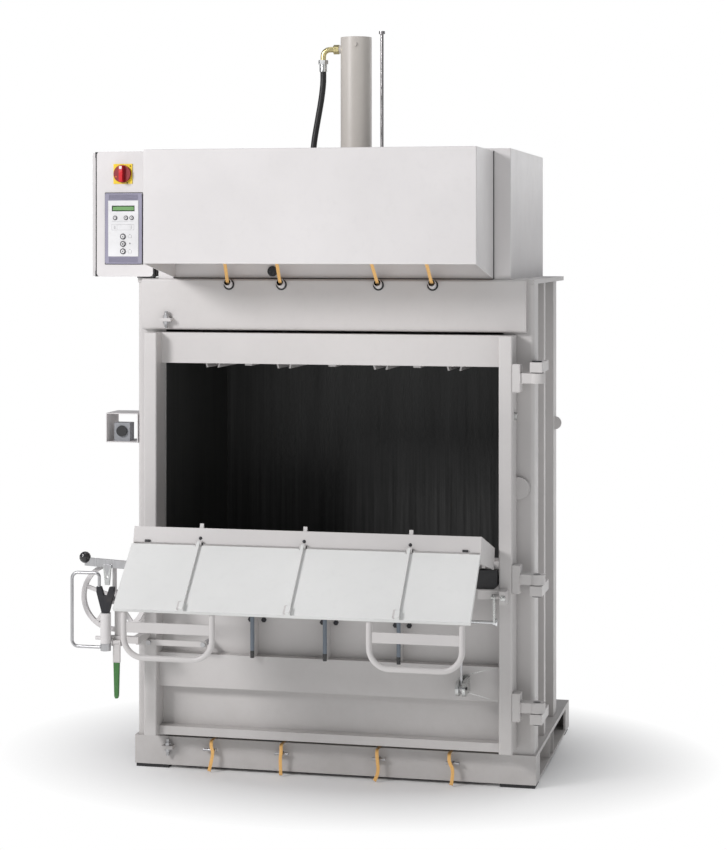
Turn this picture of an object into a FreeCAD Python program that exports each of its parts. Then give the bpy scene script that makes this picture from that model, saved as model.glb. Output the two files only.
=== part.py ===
"""Vertical recycling baler for pallet-size bales, with an open bi-fold loading flap.

Frame: X to the machine's right, Y from the operator into the machine, +Z up.
The origin is on the floor, right under the axis of the press cylinder. Millimetres.
Depths are written from the door's front plane, which lies at Y = door_face.
"""
import FreeCAD, Part
import math
import os
import re
import Sketcher

doc = FreeCAD.newDocument("RecyclingBaler")
Vector = FreeCAD.Vector
X_AXIS, Y_AXIS, Z_AXIS = Vector(1, 0, 0), Vector(0, 1, 0), Vector(0, 0, 1)

SIZES = {
    "whole machine": {
        "door_face": -486,
        "running_gap": 0.05,
        "sliding_gap": 0.3,
    },
    "base": {
        "base_width": 1424,
        "base_length": 892,
        "base_height": 100,
        "base_setback": 100,
        "base_wall": 8,
        "base_flange": 50,
        "base_beam": 100,
        "tube_across_place": 356,
        "tube_across_width": 94,
        "tube_across_wall": 6,
        "foot_height": 12,
        "foot_length": 120,
        "foot_width": 90,
        "foot_inset": 4,
        "deck_thick": 6,
        "floor_rail_height": 22,
        "floor_rail_wall": 4,
        "strap_slot_width": 34,
    },
    "press frame": {
        "opening_width": 1200,
        "frame_top": 1722,
        "side_plate": 8,
        "post_width": 97,
        "post_depth": 95,
        "post_wall": 6,
        "post_round": 14,
        "door_clearance": 5,
        "middle_rib_depth": 294,
        "middle_rib_length": 40,
        "middle_rib_width": 90,
        "rear_rib_depth": 594,
        "rear_rib_length": 80,
        "rear_rib_width": 84,
        "rib_wall": 5,
        "rear_plate": 8,
        "rear_bar_depth": 60,
        "rear_bar_width": 80,
        "rear_bar_spacing": 400,
        "top_plate_thick": 15,
        "lug_radius": 24,
        "lug_thick": 10,
        "lug_height": 1185,
    },
    "header": {
        "header_width": 1362,
        "header_bottom": 1543,
        "header_depth": 30,
        "header_wall": 5,
        "header_round": 9,
        "tube_height": 1702,
        "tube_outer": 28,
        "tube_bore": 23,
        "tube_length": 77,
        "tube_inside": 52,
        "tube_tilt": 70,
        "inner_strap_place": 172,
        "outer_tube_place": 361,
        "tube_ring": 38,
        "tube_ring_thick": 4,
    },
    "housing": {
        "housing_width": 1254,
        "housing_length": 792,
        "housing_top": 2168,
        "housing_sheet": 3,
        "housing_round": 4,
        "roof_hole": 124,
        "hose_hole": 34,
        "hose_roof_x": -162,
        "inlet_x": -420,
        "inlet_z": 1790,
        "inlet_bore": 25,
        "plug_height": 1748,
        "plug_side": -209,
        "plug_size": 36,
        "plug_rim": 5,
    },
    "hood": {
        "hood_width": 1134,
        "hood_depth": 340,
        "hood_top": 2160,
        "hood_lip": 1777,
        "hood_back": 1725,
        "hood_sheet": 3,
        "hood_fold": 4,
        "hood_return": 16,
    },
    "strap reels": {
        "reel_height": 1968,
        "reel_depth_y": -556,
        "roll_core": 160,
        "strap_roll": 262,
        "roll_width": 52,
        "axle_size": 25,
        "axle_block": 60,
        "axle_block_thick": 22,
    },
    "press cylinder": {
        "cylinder_size": 113,
        "cylinder_bore": 95,
        "cylinder_top": 2593,
        "cylinder_cap": 24,
        "flange_size": 190,
        "flange_thick": 30,
        "rod_size": 70,
        "piston_length": 60,
        "piston_height": 2470,
        "gland_height": 1781,
        "boss_size": 120,
        "boss_height": 46,
        "gauge_offset": 96,
        "gauge_size": 12,
        "gauge_top": 2614,
        "gauge_cap": 22,
        "gauge_cap_height": 10,
        "bush_size": 26,
        "bush_height": 18,
        "flange_bolt_circle": 154,
        "bolt_size": 16,
    },
    "platen": {
        "platen_bottom": 1440,
        "platen_height": 86,
        "platen_plate": 14,
        "platen_gap": 9,
        "platen_beam_wall": 6,
        "guide_drop": 30,
        "guide_spread": 34,
        "guide_thick": 6,
        "shoe_drop": 22,
        "shoe_width": 26,
        "outer_strap_place": 430,
        "shoe_place": 300,
    },
    "door": {
        "stile_width": 46,
        "door_depth": 105,
        "door_bottom": 135,
        "door_top": 1534,
        "door_wall": 5,
        "opening_sill": 778,
        "opening_height": 650,
        "top_rail_setback": 55,
        "sill_height": 40,
        "sill_setback": 20,
        "beam_bottom": 303,
        "beam_height": 117,
        "beam_setback": 35,
        "bottom_rail_height": 30,
        "bottom_rail_setback": 30,
        "skin_setback": 75,
        "skin_thick": 6,
        "liner_thick": 4,
        "rib_place": 257,
        "rib_thick": 8,
        "rib_setback": 16,
        "rib_bar": 14,
        "rib_cap_length": 25,
        "rib_bolt_height": 540,
        "stile_round": 6,
        "door_lug_height": 1016,
        "door_lug_radius": 38,
        "door_lug_reach": 45,
        "door_lug_thick": 12,
        "side_bolt_height": 1264,
    },
    "hinges": {
        "hinge_reach": 80,
        "hinge_setback": 26,
        "hinge_pin": 26,
        "hinge_eye": 28,
        "arm_height": 34,
        "lug_block_width": 40,
        "hinge_lug_front": 33,
        "bracket_width": 26,
        "bracket_height": 92,
        "bracket_depth": 58,
        "washer_gap": 3,
        "pin_head": 4,
        "top_arm_height": 1394,
        "middle_arm_height": 722,
        "low_arm_height": 294,
    },
    "flap": {
        "flap_width": 1176,
        "leaf_length": 275,
        "leaf_tilt": 15.6,
        "wing_foot": 24,
        "fold_tilt": 44.5,
        "leaf_sheet": 4,
        "flap_axis_setback": -10,
        "fold_drop": 6,
        "fold_reach": 15,
        "rail_height": 48,
        "wing_drop": 38,
        "nose_height": 16,
        "nose_length": 70,
        "nose_place": 355,
        "nose_width": 13,
        "outer_leaf_length": 271,
        "outer_lip": 14,
        "outer_rib_width": 10,
        "outer_rib_height": 10,
        "fold_cheek": 5,
        "end_block_length": 26,
        "end_block_width": 15,
        "end_block_height": 16,
        "flap_pin": 10,
        "flap_eye": 20,
        "knuckle_length": 50,
        "knuckle_place": 520,
    },
    "flap handles": {
        "grab_size": 19,
        "grab_inner": 259,
        "grab_outer": 558,
        "grab_drop": 184,
        "grab_bend": 66,
        "grab_back": 24,
        "grab_bar_height": 34,
        "grab_bar_thick": 6,
        "grab_bar_drop": 69,
    },
    "latch rod": {
        "latch_setback": -45,
        "latch_height": 668,
        "latch_drop": 84,
        "latch_rod": 11,
        "latch_arm": 8,
        "latch_arm_width": 22,
        "latch_arm_side": 590,
        "latch_block_side": 612,
        "latch_block_width": 22,
        "latch_pin": 12,
        "latch_block_height": 45,
        "latch_block_low": 645,
        "latch_block_depth": 60,
        "latch_plate_reach": 70,
        "latch_plate_thick": 8,
        "latch_plate_low": 657,
        "latch_plate_height": 31,
        "latch_plate_setback": -27,
        "pull_side": 482,
        "pull_foot_height": 360,
        "pull_size": 9,
        "pull_slot": 14,
        "clevis_gap": 12,
        "clevis_cheek": 10,
        "clevis_height": 52,
    },
    "door lock": {
        "lock_side": -735,
        "lock_setback": -140,
        "lock_tube": 36,
        "lock_shaft": 24,
        "lock_tube_bottom": 478,
        "lock_collar_height": 25,
        "lock_arm_height": 22,
        "lock_arm_depth": 26,
        "lock_arm_setback": -104,
        "lock_stud": 13,
        "lock_stud_height": 495,
        "lock_stud_reach": 18,
        "lock_plate_top": 585,
        "lock_tube_top": 581,
        "fork_top": 671,
        "fork_shoulder": 652,
        "fork_notch": 641,
        "fork_width": 62,
        "fork_thick": 16,
        "prong_foot": 12,
        "bow_side": -857,
        "bow_top": 716,
        "bow_bottom": 463,
        "bow_size": 11,
        "bow_bend": 22,
        "lock_plate": 12,
        "wheel_side": -722,
        "wheel_height": 628,
        "wheel_setback": -86,
        "wheel_radius": 119,
        "wheel_rim": 15,
        "wheel_rim_thick": 13,
        "wheel_hub": 44,
        "wheel_spoke": 13,
        "spindle_size": 20,
        "clamp_lug_reach": 35,
        "clamp_lug_height": 60,
        "ball_arm_side": -664,
        "ball_arm_height": 743,
        "ball_arm_setback": -115,
        "ball_arm_pin": 12,
        "ball_arm_hub": 30,
        "ball_arm_tilt": 3,
        "ball_arm_reach": 155,
        "ball_arm_width": 28,
        "ball_arm_thick": 8,
        "tongue_width": 30,
        "ball_size": 40,
        "ball_rise": 14,
        "grip_side": -699,
        "grip_axis_height": 480,
        "grip_setback": -130,
        "grip_width": 25,
        "grip_thick": 8,
        "grip_length": 187,
        "grip_sleeve": 118,
        "lock_bar_height": 462,
        "lock_bar_width": 20,
        "lock_bar_thick": 8,
        "lock_bar_end": -426,
    },
    "control cabinet": {
        "cabinet_side": -849,
        "cabinet_width": 208,
        "cabinet_bottom": 1728,
        "cabinet_height": 441,
        "cabinet_front": 84,
        "cabinet_depth": 150,
        "cabinet_lid": 22,
        "cabinet_seam": 3,
        "cabinet_wall": 3,
        "cabinet_round": 12,
        "backing_reach": 24,
        "switch_x": -751,
        "switch_z": 2090,
        "switch_plate": 70,
        "switch_size": 62,
        "switch_depth": 26,
        "panel_left": -816,
        "panel_width": 136,
        "panel_bottom": 1773,
        "panel_height": 249,
        "panel_thick": 6,
        "membrane_inset": 12,
        "membrane_foot": 26,
        "membrane_thick": 1.5,
        "screen_width": 84,
        "screen_height": 20,
        "screen_z": 1968,
        "small_key": 15,
        "large_key": 20,
        "key_height": 2.5,
        "small_key_z": 1935,
        "small_key_left": -778,
        "small_key_centre": -738,
        "small_key_right": -717,
        "large_key_z": 1843,
        "large_key_pitch": 26,
        "large_key_x": -749,
    },
    "push button": {
        "guard_inner": -705,
        "guard_outer": -824,
        "guard_depth": 126,
        "guard_bottom": 1140,
        "guard_height": 104,
        "guard_sheet": 3,
        "button_x": -772,
        "button_z": 1179,
        "button_box": 58,
        "button_box_depth": 46,
        "button_size": 38,
        "button_travel": 4,
    },
    "oil hose": {
        "hose_size": 22,
        "port_height": 2551,
        "port_reach": 6,
        "port_boss": 30,
        "port_nut": 21,
        "port_pipe": 20,
        "port_bend": 24,
        "ferrule_top": 2513,
        "ferrule_bottom": 2471,
        "hose_x": -123,
    },
    "strap ends": {
        "strap_width": 12,
        "strap_slack": 30,
        "strap_tail": 110,
        "strap_thick": 1.2,
        "cleat_height": 77,
        "cleat_size": 11,
        "cleat_length": 48,
        "cleat_reach": 20,
        "stop_side": -586,
        "stop_bolt": 12,
        "stop_bolt_length": 60,
        "header_stop_z": 1578,
        "base_stop_z": 78,
    },
    "power unit": {
        "tank_width": 420,
        "tank_length": 380,
        "tank_height": 240,
        "motor_size": 170,
        "motor_length": 260,
        "tank_place": 130,
        "motor_foot": 14,
        "valve_size": 110,
        "fitting_height": 20,
        "fitting_wall": 12,
    },
}

sheet = doc.addObject("Spreadsheet::Sheet", "Sizes")
VALUES = {}
row = 0
for title, sizes in SIZES.items():
    row += 1
    sheet.set(f"A{row}", title)
    for alias, value in sizes.items():
        row += 1
        sheet.set(f"A{row}", alias)
        sheet.set(f"B{row}", str(value))
        sheet.setAlias(f"B{row}", alias)
        VALUES[alias] = float(value)
doc.recompute()
print("sizes in the sheet:", len(VALUES))


# ---------------------------------------------------------------- helpers

WORD = re.compile(r"[a-z][a-z_]*")
BASE_TOP = "(foot_height + base_height)"
HALF_OPENING = "(opening_width/2)"
CHAMBER_FRONT = "(door_face + door_depth)"
CHAMBER_REAR = "(-door_face - door_depth)"
POST_FRONT = "(door_face + door_depth + door_clearance)"
PLATE_TOP = "frame_top"
WALL_TOP = "(frame_top - top_plate_thick)"
nodes = {}


def bound(text):
    """The same expression with each size's name read from the sheet."""
    return WORD.sub(lambda m: f"Sizes.{m.group()}" if m.group() in VALUES else m.group(), str(text))


def size(alias):
    """A size as the sheet holds it, for the shapes that are swept along a route."""
    return float(sheet.get(alias))


def bind(obj, **texts):
    for prop, text in texts.items():
        obj.setExpression(prop.replace("__", "."), bound(text))
    return obj


def place(obj, x="0", y="0", z="0"):
    """Moves an object to a point that is bound to the sheet."""
    return bind(obj, Placement__Base__x=x, Placement__Base__y=y, Placement__Base__z=z)


def turn(obj, axis, text):
    """Turns an object about an axis through its own origin by a bound angle."""
    obj.Placement = FreeCAD.Placement(obj.Placement.Base, FreeCAD.Rotation(axis, 10))
    return bind(obj, Placement__Rotation__Angle=text)


def block(x, y, z, name="Block"):
    """A box between two bound limits on each axis."""
    box = doc.addObject("Part::Box", name)
    bind(box, Length=f"({x[1]}) - ({x[0]})", Width=f"({y[1]}) - ({y[0]})", Height=f"({z[1]}) - ({z[0]})")
    return place(box, x[0], y[0], z[0])


ALONG = {
    "x": FreeCAD.Rotation(Y_AXIS, 90),
    "y": FreeCAD.Rotation(X_AXIS, -90),
    "z": FreeCAD.Rotation(),
}


def rod(along, start, length, diameter, name="Rod"):
    """A cylinder that starts at a point and runs along +X, +Y or +Z."""
    cylinder = doc.addObject("Part::Cylinder", name)
    cylinder.Placement = FreeCAD.Placement(Vector(), ALONG[along])
    bind(cylinder, Radius=f"({diameter})/2", Height=length)
    return place(cylinder, *start)


def fuse(*parts, name="Welded"):
    if len(parts) == 1:
        return group(*parts)
    result = doc.addObject("Part::MultiFuse", name)
    result.Shapes = list(parts)
    result.Refine = True
    return result


def cut(base, *tools, name="Cut"):
    result = doc.addObject("Part::Cut", name)
    result.Base = base
    result.Tool = tools[0] if len(tools) == 1 else fuse(*tools, name="Tools")
    return result


def group(*parts, name="Group"):
    """Separate solids that share a node."""
    result = doc.addObject("Part::Compound", name)
    result.Links = list(parts)
    return result


def mirrored(part):
    """The same piece on the machine's other side."""
    result = doc.addObject("Part::Mirroring", "Mirrored")
    result.Source = part
    result.Base = Vector()
    result.Normal = X_AXIS
    return result


def hollow(x, y, z, wall, along):
    """A rectangular hollow section, open at both ends of the axis it runs along."""
    def inner(name, limits):
        if name == along:
            return (f"({limits[0]}) - 1", f"({limits[1]}) + 1")
        return (f"({limits[0]}) + {wall}", f"({limits[1]}) - ({wall})")
    bore = block(inner("x", x), inner("y", y), inner("z", z), name="Bore")
    return cut(block(x, y, z), bore, name="HollowSection")


PLANES = {"XY": "XY_Plane", "XZ": "XZ_Plane", "YZ": "YZ_Plane"}


def body_plane(body, plane):
    return next(f for f in body.Origin.OriginFeatures if f.Role == PLANES[plane])


def outline(body, plane, loops, offset):
    """A sketch on one of the body's planes, each corner held by its two distances from the origin.

    A loop is a list of corners, or ("circle", x, y, diameter).
    """
    sketch = body.newObject("Sketcher::SketchObject", "Outline")
    sketch.AttachmentSupport = (body_plane(body, plane), "")
    sketch.MapMode = "FlatFace"
    bind(sketch, AttachmentOffset__Base__z=offset)

    def hold(kind, element, point, text):
        index = sketch.addConstraint(Sketcher.Constraint(kind, -1, 1, element, point, 1.0))
        sketch.setExpression(f"Constraints[{index}]", bound(text))

    for loop in loops:
        first = sketch.GeometryCount
        if loop[0] == "circle":
            sketch.addGeometry(Part.Circle(Vector(1, 1, 0), Z_AXIS, 1.0), False)
            hold("DistanceX", first, 3, loop[1])
            hold("DistanceY", first, 3, loop[2])
            index = sketch.addConstraint(Sketcher.Constraint("Diameter", first, 2.0))
            sketch.setExpression(f"Constraints[{index}]", bound(loop[3]))
            continue
        count = len(loop)
        ring = [Vector(math.cos(math.tau*i/count), math.sin(math.tau*i/count), 0) for i in range(count)]
        for i in range(count):
            sketch.addGeometry(Part.LineSegment(ring[i], ring[(i + 1) % count]), False)
        for i in range(count):
            following = first + (i + 1) % count
            sketch.addConstraint(Sketcher.Constraint("Coincident", first + i, 2, following, 1))
        for i, (across, up) in enumerate(loop):
            hold("DistanceX", first + i, 1, across)
            hold("DistanceY", first + i, 1, up)
    return sketch


def extruded(name, plane, loops, low, high):
    """A body padded from its outline between two places on the plane's own axis."""
    body = doc.addObject("PartDesign::Body", name)
    # An XZ sketch faces -Y, so it sits at the far limit and grows towards the near one.
    offset = f"-({high})" if plane == "XZ" else low
    sketch = outline(body, plane, loops, offset)
    pad = body.newObject("PartDesign::Pad", "Pad")
    pad.Profile = sketch
    bind(pad, Length=f"({high}) - ({low})")
    doc.recompute()
    return body


def turned(name, corners):
    """A body turned about its own Z axis; corners are (radius, height)."""
    body = doc.addObject("PartDesign::Body", name)
    sketch = outline(body, "XZ", [corners], "0")
    revolution = body.newObject("PartDesign::Revolution", "Revolution")
    revolution.Profile = sketch
    revolution.ReferenceAxis = (sketch, ["V_Axis"])
    revolution.Angle = 360
    doc.recompute()
    return body


def round_edges(body, radius, chosen):
    """Rounds the edges of a body for which chosen(edge) is true."""
    names = [f"Edge{i}" for i, edge in enumerate(body.Shape.Edges, 1) if chosen(edge)]
    before = body.Tip
    fillet = body.newObject("PartDesign::Fillet", "Fillet")
    fillet.Base = (before, names)
    bind(fillet, Radius=radius)
    body.Tip = fillet
    doc.recompute()
    return body


def runs_along(axis):
    def chosen(edge):
        ends = edge.Vertexes
        if len(ends) != 2:
            return False
        span = (ends[1].Point - ends[0].Point).normalize()
        return abs(span.dot(axis)) > 0.9999
    return chosen


def bent_path(points, bend, chords=0):
    """Straight runs joined by tangent arcs, or by as many chords of them as are asked for.

    bend is one radius, or one for each inner point.
    """
    edges = []
    start = points[0]
    for i in range(1, len(points) - 1):
        before = (points[i - 1] - points[i]).normalize()
        after = (points[i + 1] - points[i]).normalize()
        half_turn = (math.pi - before.getAngle(after))/2
        radius = bend[i - 1] if isinstance(bend, list) else bend
        set_back = radius*math.tan(half_turn)
        arc_start = points[i] + before*set_back
        arc_end = points[i] + after*set_back
        middle_way = (before + after).normalize()
        centre = points[i] + middle_way*(radius/math.cos(half_turn))
        edges.append(Part.LineSegment(start, arc_start).toShape())
        arc = Part.Arc(arc_start, centre - middle_way*radius, arc_end)
        if chords:
            corners = arc.discretize(chords + 1)
            edges += [Part.LineSegment(corners[k], corners[k + 1]).toShape() for k in range(chords)]
        else:
            edges.append(arc.toShape())
        start = arc_end
    edges.append(Part.LineSegment(start, points[-1]).toShape())
    return Part.Wire(edges)


def route_bends(points, label, diameter):
    """The largest arcs that a free route's runs allow, printed with its tightest radius."""
    radii = []
    for i in range(1, len(points) - 1):
        before, after = points[i - 1] - points[i], points[i + 1] - points[i]
        half_turn = (math.pi - before.getAngle(after))/2
        radii.append(0.45*min(before.Length, after.Length)/math.tan(half_turn))
    print(f"{label}: radii {[round(r) for r in radii]} mm, diameter {diameter:g} mm")
    return radii


def bent_tube(points, bend, diameter, chords=0):
    """A round bar or hose swept along a bent path."""
    path = bent_path(points, bend, chords)
    start, direction = points[0], (points[1] - points[0]).normalize()
    ring = Part.Wire([Part.makeCircle(diameter/2, start, direction)])
    swept = path.makePipeShell([ring], True, False, 1 if chords else 0)
    expected = math.pi*diameter**2/4*path.Length
    if abs(swept.Volume/expected - 1) > 0.02:
        raise ValueError("a swept bar's volume doesn't follow from its section and length")
    return swept


def bent_strap(points, bend, width, thick):
    """A flat strap that bends in the YZ plane."""
    path = bent_path(points, bend)
    direction = (points[1] - points[0]).normalize()
    flat = direction.cross(X_AXIS).normalize()
    start = points[0]
    corners = [start + X_AXIS*(a*width/2) + flat*(b*thick/2) for a,
               b in ((-1, -1), (1, -1), (1, 1), (-1, 1))]
    ring = Part.makePolygon(corners + corners[:1])
    return path.makePipeShell([ring], True, True)


def swept(shape, name):
    feature = doc.addObject("Part::Feature", name)
    feature.Shape = shape
    return feature


def hexagon(along, start, length, across_flats):
    """A hexagonal head or nut."""
    prism = doc.addObject("Part::Prism", "Hexagon")
    prism.Polygon = 6
    prism.Placement = FreeCAD.Placement(Vector(), ALONG[along])
    bind(prism, Circumradius=f"({across_flats})/1.732", Height=length)
    return place(prism, *start)


def node(obj, label):
    """Names a sub-part; the name is also its file's."""
    obj.Label = label
    nodes[label] = obj
    return obj


def sides(inner, outer):
    """The same two distances on the right and on the left of the machine."""
    return ((inner, outer), (f"-({outer})", f"-({inner})"))


# ---------------------------------------------------------------- base

WIDE = ("-base_width/2", "base_width/2")
BASE_FRONT = "(door_face + base_setback)"
BASE_REAR = "(door_face + base_setback + base_length)"
FRAME_TOP = "(foot_height + base_height - deck_thick)"


def build_base():
    levels = ("foot_height", FRAME_TOP)
    inner_levels = ("foot_height + base_wall", f"{FRAME_TOP} - base_wall")
    between_plates = ("-base_width/2 + base_wall", "base_width/2 - base_wall")
    front_end = f"({BASE_FRONT} + base_beam)"
    rear_end = f"({BASE_REAR} - base_beam)"
    front = cut(block(WIDE, (BASE_FRONT, front_end), levels),
                block(between_plates, (f"{BASE_FRONT} + base_wall", f"{front_end} + 1"), inner_levels))
    rear = cut(block(WIDE, (rear_end, BASE_REAR), levels),
               block(between_plates, (f"{rear_end} - 1", f"{BASE_REAR} - base_wall"), inner_levels))
    web = "(base_width/2 - base_flange)"
    runners = []
    for outer, opening in (((web, "base_width/2"), (f"{web} + base_wall", "base_width/2 + 1")),
                           (("-base_width/2", f"-{web}"), ("-base_width/2 - 1", f"-{web} - base_wall"))):
        runners.append(cut(block(outer, (front_end, rear_end), levels),
                           block(opening, (front_end, rear_end), inner_levels)))
    across = (f"{BASE_FRONT} + tube_across_place", f"{BASE_FRONT} + tube_across_place + tube_across_width")
    tube = block(WIDE, across, levels)
    bore = block(("-base_width/2 - 1", "base_width/2 + 1"),
                 (f"{across[0]} + tube_across_wall", f"{across[1]} - tube_across_wall"),
                 ("foot_height + tube_across_wall", f"{FRAME_TOP} - tube_across_wall"))
    node(cut(fuse(front, rear, *runners, tube), bore), "base_frame")
    node(block(WIDE, (BASE_FRONT, BASE_REAR), (FRAME_TOP, BASE_TOP), name="DeckPlate"), "deck_plate")
    pads = []
    for x in sides("base_width/2 - foot_inset - foot_length", "base_width/2 - foot_inset"):
        for y in ((f"{BASE_FRONT} + foot_inset", f"{BASE_FRONT} + foot_inset + foot_width"),
                  (f"{BASE_REAR} - foot_inset - foot_width", f"{BASE_REAR} - foot_inset")):
            pads.append(block(x, y, ("0", "foot_height"), name="Pad"))
    node(group(*pads), "foot_pads")
    edge = "strap_slot_width/2"
    strips = [(f"-inner_strap_place + {edge}", f"inner_strap_place - {edge}")]
    strips += sides(f"inner_strap_place + {edge}", f"outer_strap_place - {edge}")
    strips += sides(f"outer_strap_place + {edge}", f"{HALF_OPENING} - sliding_gap")
    rails = [hollow(x, (POST_FRONT, CHAMBER_REAR), (BASE_TOP, f"{BASE_TOP} + floor_rail_height"),
                    "floor_rail_wall", "y") for x in strips]
    node(group(*rails), "bale_floor")


# ---------------------------------------------------------------- press frame

def build_frame():
    levels = (BASE_TOP, WALL_TOP)
    wall_outer = f"({HALF_OPENING} + side_plate)"
    wall = block((HALF_OPENING, wall_outer), (POST_FRONT, CHAMBER_REAR), levels)
    middle = (f"{CHAMBER_FRONT} + middle_rib_depth",
              f"{CHAMBER_FRONT} + middle_rib_depth + middle_rib_length")
    rear = (f"{CHAMBER_FRONT} + rear_rib_depth", f"{CHAMBER_FRONT} + rear_rib_depth + rear_rib_length")
    ribs = [hollow((wall_outer, f"{wall_outer} + middle_rib_width"), middle, levels, "rib_wall", "z"),
            hollow((wall_outer, f"{wall_outer} + rear_rib_width"), rear, levels, "rib_wall", "z")]
    plain = fuse(wall, *ribs)
    node(mirrored(plain), "side_wall_left")
    rib_face = f"{wall_outer} + rear_rib_width"
    middle_of_rib = f"({rear[0]} + rear_rib_length/2)"
    disc = rod("y", (rib_face, f"{middle_of_rib} - lug_thick/2", "lug_height"), "lug_thick", "2*lug_radius")
    lug = cut(disc, block((f"{rib_face} - 2*lug_radius", rib_face),
                          (f"{middle_of_rib} - lug_thick", f"{middle_of_rib} + lug_thick"),
                          ("lug_height - 2*lug_radius", "lug_height + 2*lug_radius")))
    node(fuse(plain, lug), "side_wall_right")

    post_outer = f"({wall_outer} + post_width)"
    post_rear = f"({POST_FRONT} + post_depth)"
    ring = [(wall_outer, POST_FRONT), (post_outer, POST_FRONT), (post_outer, post_rear),
            (wall_outer, post_rear)]
    bore = [(f"{wall_outer} + post_wall", f"{POST_FRONT} + post_wall"),
            (f"{post_outer} - post_wall", f"{POST_FRONT} + post_wall"),
            (f"{post_outer} - post_wall", f"{post_rear} - post_wall"),
            (f"{wall_outer} + post_wall", f"{post_rear} - post_wall")]
    post = extruded("Post", "XY", [ring, bore], *levels)
    corner = FreeCAD.Vector(size("opening_width")/2 + size("side_plate") + size("post_width"),
                            size("door_face") + size("door_depth") + size("door_clearance"), 0)
    round_edges(post, "post_round", lambda e: runs_along(Z_AXIS)(e)
                and (e.Vertexes[0].Point - corner).dot(X_AXIS) > -0.1
                and abs((e.Vertexes[0].Point - corner).dot(Y_AXIS)) < 0.1)
    node(post, "front_post_right")
    anvil = block((f"-{post_outer} - clamp_lug_reach", f"-{post_outer} + post_wall/2"),
                  (POST_FRONT, f"{POST_FRONT} + post_depth/2"),
                  ("wheel_height - clamp_lug_height/2", "wheel_height + clamp_lug_height/2"))
    node(fuse(mirrored(post), anvil), "front_post_left")

    bars = [hollow((f"{place_x} - rear_bar_width/2", f"{place_x} + rear_bar_width/2"),
                   (f"{CHAMBER_REAR} + rear_plate", f"{CHAMBER_REAR} + rear_plate + rear_bar_depth"),
                   levels, "rib_wall", "z") for place_x in ("-rear_bar_spacing", "0", "rear_bar_spacing")]
    plate = block((f"-{wall_outer}", wall_outer), (CHAMBER_REAR, f"{CHAMBER_REAR} + rear_plate"), levels)
    node(fuse(plate, *bars), "rear_wall")

    top = block((f"-{post_outer}", post_outer), (POST_FRONT, f"{BASE_FRONT} + housing_length"),
                (WALL_TOP, PLATE_TOP), name="TopPlate")
    holes = [rod("z", ("0", "0", f"{WALL_TOP} - 1"), "top_plate_thick + 2", "rod_size + 2*running_gap"),
             rod("z", ("gauge_offset", "0", f"{WALL_TOP} - 1"), "top_plate_thick + 2",
                 "gauge_size + 2*running_gap")]
    node(cut(top, *holes), "top_plate")


# ---------------------------------------------------------------- header

HEADER_REAR = POST_FRONT
HEADER_FRONT = "(door_face + door_depth + door_clearance - header_depth)"


def build_header():
    x = ("-header_width/2", "header_width/2")
    y = (HEADER_FRONT, HEADER_REAR)
    corners = [(y[0], "header_bottom"), (y[1], "header_bottom"), (y[1], "frame_top"), (y[0], "frame_top")]
    beam = round_edges(extruded("Header", "YZ", [corners], *x), "header_round", runs_along(X_AXIS))
    inside = block((f"{x[0]} + header_wall", f"{x[1]} - header_wall"),
                   (f"{y[0]} + header_wall", f"{y[1]} - header_wall"),
                   ("header_bottom + header_wall", "frame_top - header_wall"))
    tube_places = ("-outer_tube_place", "-inner_strap_place", "inner_strap_place", "outer_tube_place")

    def tilted(part, x_place):
        """Points a part along the strap tubes, forward and up through the header's face."""
        turn(part, X_AXIS, "tube_tilt")
        return place(part, x_place, HEADER_FRONT, "tube_height")

    def along(start, length, diameter):
        piece = doc.addObject("Part::Cylinder", "TubePiece")
        bind(piece, Radius=f"({diameter})/2", Height=length)
        return place(piece, "0", "0", start)

    holes = [tilted(fuse(along("-2*header_depth", "4*header_depth", "tube_outer + 2*running_gap")), x_place)
             for x_place in tube_places]
    node(cut(beam, inside, *holes), "header_beam")
    for number, x_place in enumerate(tube_places, 1):
        tube = cut(along("-tube_inside", "tube_length", "tube_outer"),
                   along("-tube_inside - 1", "tube_length + 2", "tube_bore"))
        node(tilted(tube, x_place), f"strap_tube_{number}")
        ring = cut(rod("y", (x_place, f"{HEADER_FRONT} - tube_ring_thick", "tube_height"),
                       "tube_ring_thick", "tube_ring"),
                   tilted(fuse(along("-tube_outer", "3*tube_outer", "tube_outer + 2*running_gap")), x_place))
        node(ring, f"tube_ring_{number}")


# ---------------------------------------------------------------- housing and power unit

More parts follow.
